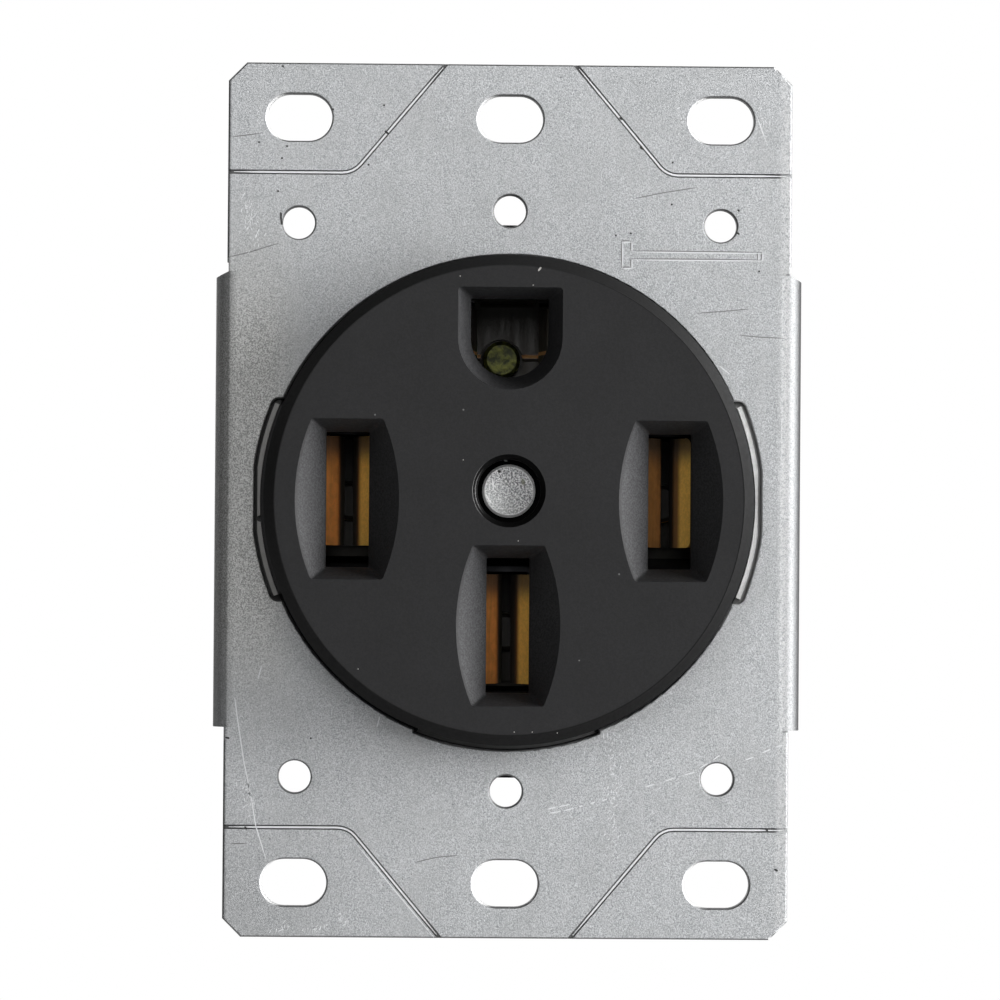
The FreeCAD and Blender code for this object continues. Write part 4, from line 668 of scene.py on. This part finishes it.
# Scratches, scuffs and nicks on the strap, with painted highlights and shade at its strip gauge and by one
# scored line, and dust on the cover: flecks and ribbons just proud of a face.
# They are given in the photograph's pixels, and their widths and lengths in millimetres.
PROUD = 0.00001
LIGHT_SCRATCHES_AND_HIGHLIGHTS = [
    [(235, 697), (238, 720), (244, 760), (252, 800), (256, 825), (266, 858)],
    [(258, 680), (262, 665)], [(377, 727), (380, 716)], [(757, 115), (768, 145)], [(720, 366), (730, 374)],
    [(547, 809), (556, 807)], [(559, 806.5), (570, 804)], [(549, 813), (561, 811)],
    [(564, 810.5), (574, 808)], [(579, 806.5), (583, 805.5)], [(590, 803.5), (595, 802)],
    # The line from (355, 842) to (434, 937) is a painted highlight beside the bottom left scored line.
    [(602, 800.5), (607, 799)], [(355, 842), (434, 937)], [(603.5, 733), (603.5, 739)],
    [(607.5, 732), (607.5, 738)], [(645, 787), (655, 784)], [(665, 781), (674, 778)],
    [(684, 775), (695, 772)], [(700, 768), (708, 763)], [(713, 760), (720, 755)],
    [(745, 760), (754, 757)], [(762, 753), (771, 749)], [(776, 747), (783, 745)],
]
DARK_SCRATCHES = [
    [(229, 257), (250, 252), (279, 243)], [(635, 198), (665, 192), (697, 187)],
    [(697, 313), (724, 311), (750, 308.6)], [(740, 335), (762, 337), (785, 338)],
    [(415, 862), (436, 857), (458, 855)], [(230, 843), (248, 843)], [(230, 137), (262, 133)],
]
DARK_NICKS = [
    [(225.5, 737), (230, 738)], [(774, 869), (778, 871)], [(384.5, 130.5), (389, 134)],
    [(245, 826), (247, 829)], [(765, 828), (768, 831)], [(619.5, 117), (623, 119)],
    [(640, 146), (643, 149)], [(280.8, 212), (281.0, 218), (282.0, 225)], [(737, 232), (740, 234)],
    [(738, 209), (740, 211)],
]
DARK_DOTS = [
    (616, 235), (631, 233), (759.5, 271), (311, 738), (283, 66), (384, 105), (259, 142), (282, 158),
    (368.5, 164.5), (278, 191), (287, 146), (673, 162), (333, 109), (672, 204),
]
STRIP_GAUGE = [
    [(621.6, 240.5), (630.9, 240.5)], [(630.9, 240.5), (630.9, 250.3)], [(630.9, 250.3), (762, 251.8)],
    [(762, 251.8), (762, 259.3)], [(762, 259.3), (630.9, 258.3)], [(630.9, 258.3), (630.9, 266.8)],
    [(630.9, 266.8), (621.6, 266.8)], [(621.6, 266.8), (621.6, 240.5)], [(758, 252), (758, 259)],
]
COVER_DUST = [
    (358, 669), (514, 732), (532, 732), (557, 733), (533, 285), (460, 276), (463, 460), (518, 541),
]
COVER_LINT = [[(538, 271), (541, 267)]]
LIGHT_WIDTH = 0.13
DARK_WIDTH = 0.11
NICK_WIDTH = 0.22
DOT_SIZE = 0.22
DUST_SIZE = 0.11
LINT_WIDTH = 0.2

# The strip gauge's outline: a dark line of painted shade, and a painted highlight a little to its right and
# below.
GAUGE_SHADE_WIDTH = 0.12
GAUGE_HIGHLIGHT_WIDTH = 0.14
GAUGE_HIGHLIGHT_SHIFT = (0.14, -0.14)

# The scored lines, in millimetres from the strap's middle, and the slope of their slanted ends in degrees.
SCORE_UP = 35.65
SCORE_OUT = 17.1
SCORE_SLOPE = 50.0
SCORE_RADIUS = 2.6
SCORE_SIDE = 30.1
SCORE_END = 47.2
BEAD_WIDTH = 0.2
BEAD_SUNK = 0.00003
BEND_STEPS = 4

# Each patch of flecks: its two ends, how far the flecks stray, how many there are and how long they are.
LIGHT_PATCHES = [
    ((247, 205), (256, 245), 5, 55, 0.5), ((238, 780), (253, 808), 4, 30, 0.5),
    ((613, 728), (613, 860), 4.5, 130, 0.3), ((605, 729), (605, 737), 1.5, 10, 0.5),
    ((275, 932), (289, 923), 3, 14, 0.5), ((302, 931), (324, 926), 2, 16, 0.5),
    ((340, 910), (344, 924), 2, 10, 0.5), ((312, 70), (330, 67), 2.5, 16, 0.4),
    ((261, 106), (259, 128), 1.5, 22, 0.3), ((680, 110), (684, 138), 2, 14, 0.3),
    ((757, 100), (768, 145), 3, 16, 0.4),
]
DARK_PATCHES = [
    ((620, 88), (700, 80), 8, 10, 0.2), ((300, 880), (700, 890), 12, 12, 0.2),
    ((240, 300), (240, 700), 6, 14, 0.2),
]

# The flecks' lean in degrees and its spread, their half lengths as shares of a patch's, and their widths.
FLECK_LEAN, FLECK_LEAN_SPREAD = 70, 30
FLECK_HALVES = (0.25, 0.6)
FLECK_WIDTHS = (0.05, 0.11)
CHANCE_SEED = 14

# The strap's flat part and its holes, in millimetres from its middle, with a little clearance round each.
FLAT_OUT, FLAT_UP = 30, 47
OPENING_CLEAR = 27.8
HOLES_OUT = 23.0
LONG_HOLES_HEIGHT = 41.65
LONG_HOLE_CLEAR_OUT, LONG_HOLE_CLEAR_UP = 3.7, 2.7
OUTER_HOLES_HEIGHT = 30.15
MIDDLE_HOLES_HEIGHT = 31.6
ROUND_HOLE_CLEAR = 1.9


def on_sheet(place):
    """Whether a place, in millimetres, lies on the strap's face and clear of its holes."""
    out, up = abs(place.x), abs(place.y)
    in_long_hole = (min(out, abs(out - HOLES_OUT)) < LONG_HOLE_CLEAR_OUT
                    and abs(up - LONG_HOLES_HEIGHT) < LONG_HOLE_CLEAR_UP)
    in_round_hole = min(math.hypot(out - HOLES_OUT, up - OUTER_HOLES_HEIGHT),
                        math.hypot(out, up - MIDDLE_HOLES_HEIGHT)) < ROUND_HOLE_CLEAR
    on_flat = out < FLAT_OUT and up < FLAT_UP and place.length > OPENING_CLEAR
    return on_flat and not in_long_hole and not in_round_hole


class Marks:
    """Flat ribbons on the strap's or the cover's face, gathered into one mesh."""

    ROUNDING = 0.25
    END_TAPER = 0.3
    METALLIC = 0.3
    ROUGHNESS = 0.5

    def __init__(self, depth=STRAP_FRONT - PROUD, where=seen_at):
        self.depth = depth
        self.where = where
        self.corners = []
        self.faces = []

    def ribbon(self, points, width):
        """A ribbon through the points, in millimetres, that tapers at its ends."""
        smooth = [points[0]]
        for start, end in zip(points, points[1:]):
            smooth += [start.lerp(end, self.ROUNDING), start.lerp(end, 1 - self.ROUNDING), end]
        first, last = len(self.corners), len(smooth) - 1
        for index, point in enumerate(smooth):
            ahead = smooth[min(index + 1, last)] - smooth[max(index - 1, 0)]
            half = Vector((-ahead.y, ahead.x)).normalized() * width / 2
            if index in (0, last):
                half = half * self.END_TAPER
            for place in (point + half, point - half):
                self.corners.append((place.x * MM, self.depth, place.y * MM))
        for step in range(last):
            left = first + 2 * step
            self.faces.append((left, left + 1, left + 3, left + 2))

    def lines(self, lines, width, shift=(0, 0)):
        for line in lines:
            self.ribbon([self.where(*point) + Vector(shift) for point in line], width)

    def dots(self, places, size):
        for across, down in places:
            middle = self.where(across, down)
            self.ribbon([middle - Vector((size / 2, 0)), middle + Vector((size / 2, 0))], size)

    def flecks(self, start, end, stray, count, long, chance):
        """Short flecks strewn along the way between two pixels, left out where the sheet has a hole."""
        for _ in range(count):
            across, down = Vector(start).lerp(Vector(end), chance.random())
            middle = self.where(across + chance.gauss(0, stray), down + chance.gauss(0, stray))
            lean = math.radians(chance.gauss(FLECK_LEAN, FLECK_LEAN_SPREAD))
            half = Vector((math.cos(lean), math.sin(lean))) * long * chance.uniform(*FLECK_HALVES)
            width = chance.uniform(*FLECK_WIDTHS)
            if on_sheet(middle):
                self.ribbon([middle - half, middle + half], width)

    def make(self, name, colour):
        mesh = bpy.data.meshes.new(name)
        mesh.from_pydata(self.corners, [], self.faces)
        shader = Shader(name)
        shader.set("Base Color", colour)
        shader.set("Metallic", self.METALLIC)
        shader.set("Roughness", self.ROUGHNESS)
        mesh.materials.append(shader.material)
        piece = bpy.data.objects.new(name, mesh)
        scene.collection.objects.link(piece)
        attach(piece, "root")


def scored_line(hand, end):
    """The middle of one scored line, in millimetres, from the side to the end edge of the strap."""
    slope = math.radians(SCORE_SLOPE)
    reach = SCORE_RADIUS * math.tan(slope / 2)
    centre = Vector((SCORE_OUT + reach, SCORE_UP + SCORE_RADIUS))
    points = [Vector((SCORE_SIDE, SCORE_UP))]
    for step in range(BEND_STEPS + 1):
        turned = slope * step / BEND_STEPS
        points.append(centre - Vector((math.sin(turned), math.cos(turned))) * SCORE_RADIUS)
    points.append(Vector((SCORE_OUT - (SCORE_END - SCORE_UP) / math.tan(slope), SCORE_END)))
    return [Vector((point.x * hand, point.y * end)) for point in points]


chance = random.Random(CHANCE_SEED)
scratches_and_highlights, faint_scratches_and_shade, dark_marks = Marks(), Marks(), Marks()
scratches_and_highlights.lines(LIGHT_SCRATCHES_AND_HIGHLIGHTS, LIGHT_WIDTH)
# A painted highlight beside the strip gauge's outline.
scratches_and_highlights.lines(STRIP_GAUGE, GAUGE_HIGHLIGHT_WIDTH, GAUGE_HIGHLIGHT_SHIFT)
for patch in LIGHT_PATCHES:
    scratches_and_highlights.flecks(*patch, chance)
# Painted shade along the strip gauge's outline.
faint_scratches_and_shade.lines(STRIP_GAUGE, GAUGE_SHADE_WIDTH)
faint_scratches_and_shade.lines(DARK_SCRATCHES, DARK_WIDTH)
for patch in DARK_PATCHES:
    faint_scratches_and_shade.flecks(*patch, chance)
dark_marks.lines(DARK_NICKS, NICK_WIDTH)
dark_marks.dots(DARK_DOTS, DOT_SIZE)
# The beads in the scored lines are paler than the sheet: a painted highlight on the ridge in each.
bead_highlights = Marks(STRAP_FRONT + BEAD_SUNK)
for hand in (1, -1):
    for end in (1, -1):
        bead_highlights.ribbon(scored_line(hand, end), BEAD_WIDTH)
dust = Marks(COVER_FACE - PROUD, on_cover)
dust.dots(COVER_DUST, DUST_SIZE)
dust.lines(COVER_LINT, LINT_WIDTH)

bead_highlights.make("scored_line_bead_highlights", (0.74, 0.75, 0.76))
dust.make("cover_dust", (0.40, 0.39, 0.37))
scratches_and_highlights.make("strap_scratches_and_highlights", (0.72, 0.73, 0.74))
faint_scratches_and_shade.make("strap_faint_scratches_and_shade", (0.20, 0.20, 0.20))
dark_marks.make("strap_dark_marks", (0.04, 0.04, 0.04))


# The camera stands where the photograph was taken from: far off, and some degrees to the left and low.
CAMERA_DISTANCE = 0.55
CAMERA_LEFT = 0.86
CAMERA_LOW = 0.75
CAMERA_NEAR, CAMERA_FAR = 0.01, 20
SENSOR_MM = 36

view_height = PHOTO_PIXELS * STRAP_MM_PER_PIXEL * MM
target = Vector(((PHOTO_PIXELS / 2 - STRAP_CENTRE_PIXEL[0]) * STRAP_MM_PER_PIXEL * MM, STRAP_FRONT,
                 (STRAP_CENTRE_PIXEL[1] - PHOTO_PIXELS / 2) * STRAP_MM_PER_PIXEL * MM))
camera_data = bpy.data.cameras.new("camera")
camera = bpy.data.objects.new("camera", camera_data)
scene.collection.objects.link(camera)
back = Vector((-math.sin(math.radians(CAMERA_LEFT)), -1, -math.sin(math.radians(CAMERA_LOW)))).normalized()
camera.location = target + back * CAMERA_DISTANCE
look = (-back).to_track_quat("-Z", "Y")
camera.rotation_mode = "QUATERNION"
camera.rotation_quaternion = look @ Quaternion((0, 0, 1), math.radians(IMAGE_TURN))
camera_data.sensor_width = SENSOR_MM
camera_data.lens = SENSOR_MM * CAMERA_DISTANCE / view_height
camera_data.clip_start = CAMERA_NEAR
camera_data.clip_end = CAMERA_FAR
scene.camera = camera

# Each lamp: its name, its place, its width and height, and its power in watts. All look at the middle.
LAMPS = [
    ("key", (0.57, -0.17, 0.11), 0.30, 0.45, 8.8),
    ("front", (-0.05, -0.9, 0.35), 0.75, 0.6, 2.6),
    ("rear", (-0.55, 0.8, 0.45), 0.8, 0.8, 2.6),
]


def softbox(name, place, wide, tall, power):
    data = bpy.data.lights.new(name, "AREA")
    data.shape = "RECTANGLE"
    data.size = wide
    data.size_y = tall
    data.energy = power
    light = bpy.data.objects.new(name, data)
    light.location = place
    light.rotation_mode = "QUATERNION"
    light.rotation_quaternion = (-Vector(place)).to_track_quat("-Z", "Y")
    light.visible_camera = False
    scene.collection.objects.link(light)


for lamp in LAMPS:
    softbox(*lamp)

# The world glows softly, and more so towards one side.
WORLD_BRIGHT_SIDE = (0.93, -0.05, 0.36)
WORLD_DIM, WORLD_BRIGHT = 0.08, 0.26

world = bpy.data.worlds.new("studio")
world.use_nodes = True
scene.world = world
tree = world.node_tree
background = tree.nodes["Background"]
direction = tree.nodes.new("ShaderNodeTexCoord").outputs["Generated"]
slant = tree.nodes.new("ShaderNodeVectorMath")
slant.operation = "DOT_PRODUCT"
tree.links.new(direction, slant.inputs[0])
slant.inputs[1].default_value = Vector(WORLD_BRIGHT_SIDE).normalized()
soft = tree.nodes.new("ShaderNodeMapRange")
soft.interpolation_type = "SMOOTHSTEP"
tree.links.new(slant.outputs["Value"], soft.inputs["Value"])
soft.inputs["From Min"].default_value = -1.0
soft.inputs["From Max"].default_value = 1.0
soft.inputs["To Min"].default_value = WORLD_DIM
soft.inputs["To Max"].default_value = WORLD_BRIGHT
tree.links.new(soft.outputs["Result"], background.inputs["Strength"])
background.inputs["Color"].default_value = (*WHITE, 1)

# The room: a floor and a wall behind, pale to the light and white to the camera.
ROOM_HALF = 3.0
FLOOR_FRONT = 0.35
FLOOR_BELOW_STRAP = 0.25
WALL_BACK = 1.6
ROOM_TONE = (0.8, 0.8, 0.8)
ROOM_ROUGHNESS = 0.9
FLOOR_GLOW, WALL_GLOW = 0.6, 1.0


def pale_sheet(name, corners, glow_share):
    """A sheet of the room that camera, glossy and transmission rays see as white by the share given."""
    mesh = bpy.data.meshes.new(name)
    mesh.from_pydata(corners, [], [(0, 1, 2, 3)])
    sheet = bpy.data.objects.new(name, mesh)
    scene.collection.objects.link(sheet)
    shader = Shader(name)
    shader.set("Base Color", ROOM_TONE)
    shader.set("Roughness", ROOM_ROUGHNESS)
    glow = shader.tree.nodes.new("ShaderNodeEmission")
    glow.inputs["Strength"].default_value = 1.0
    ray = shader.tree.nodes.new("ShaderNodeLightPath").outputs
    seen = shader.math("MAXIMUM", ray["Is Camera Ray"],
                       shader.math("MAXIMUM", ray["Is Glossy Ray"], ray["Is Transmission Ray"]))
    blend = shader.tree.nodes.new("ShaderNodeMixShader")
    out = shader.tree.nodes["Material Output"]
    shader.put(blend.inputs[0], shader.math("MULTIPLY", seen, glow_share))
    shader.tree.links.new(shader.surface.outputs[0], blend.inputs[1])
    shader.tree.links.new(glow.outputs[0], blend.inputs[2])
    shader.tree.links.new(blend.outputs[0], out.inputs["Surface"])
    mesh.materials.append(shader.material)


floor_up = strap_low.z - FLOOR_BELOW_STRAP
pale_sheet("floor", [(-ROOM_HALF, -FLOOR_FRONT, floor_up), (ROOM_HALF, -FLOOR_FRONT, floor_up),
                     (ROOM_HALF, WALL_BACK, floor_up), (-ROOM_HALF, WALL_BACK, floor_up)], FLOOR_GLOW)
pale_sheet("backdrop", [(-ROOM_HALF, WALL_BACK, floor_up), (ROOM_HALF, WALL_BACK, floor_up),
                        (ROOM_HALF, WALL_BACK, ROOM_HALF), (-ROOM_HALF, WALL_BACK, ROOM_HALF)], WALL_GLOW)

scene.view_settings.view_transform = "Standard"
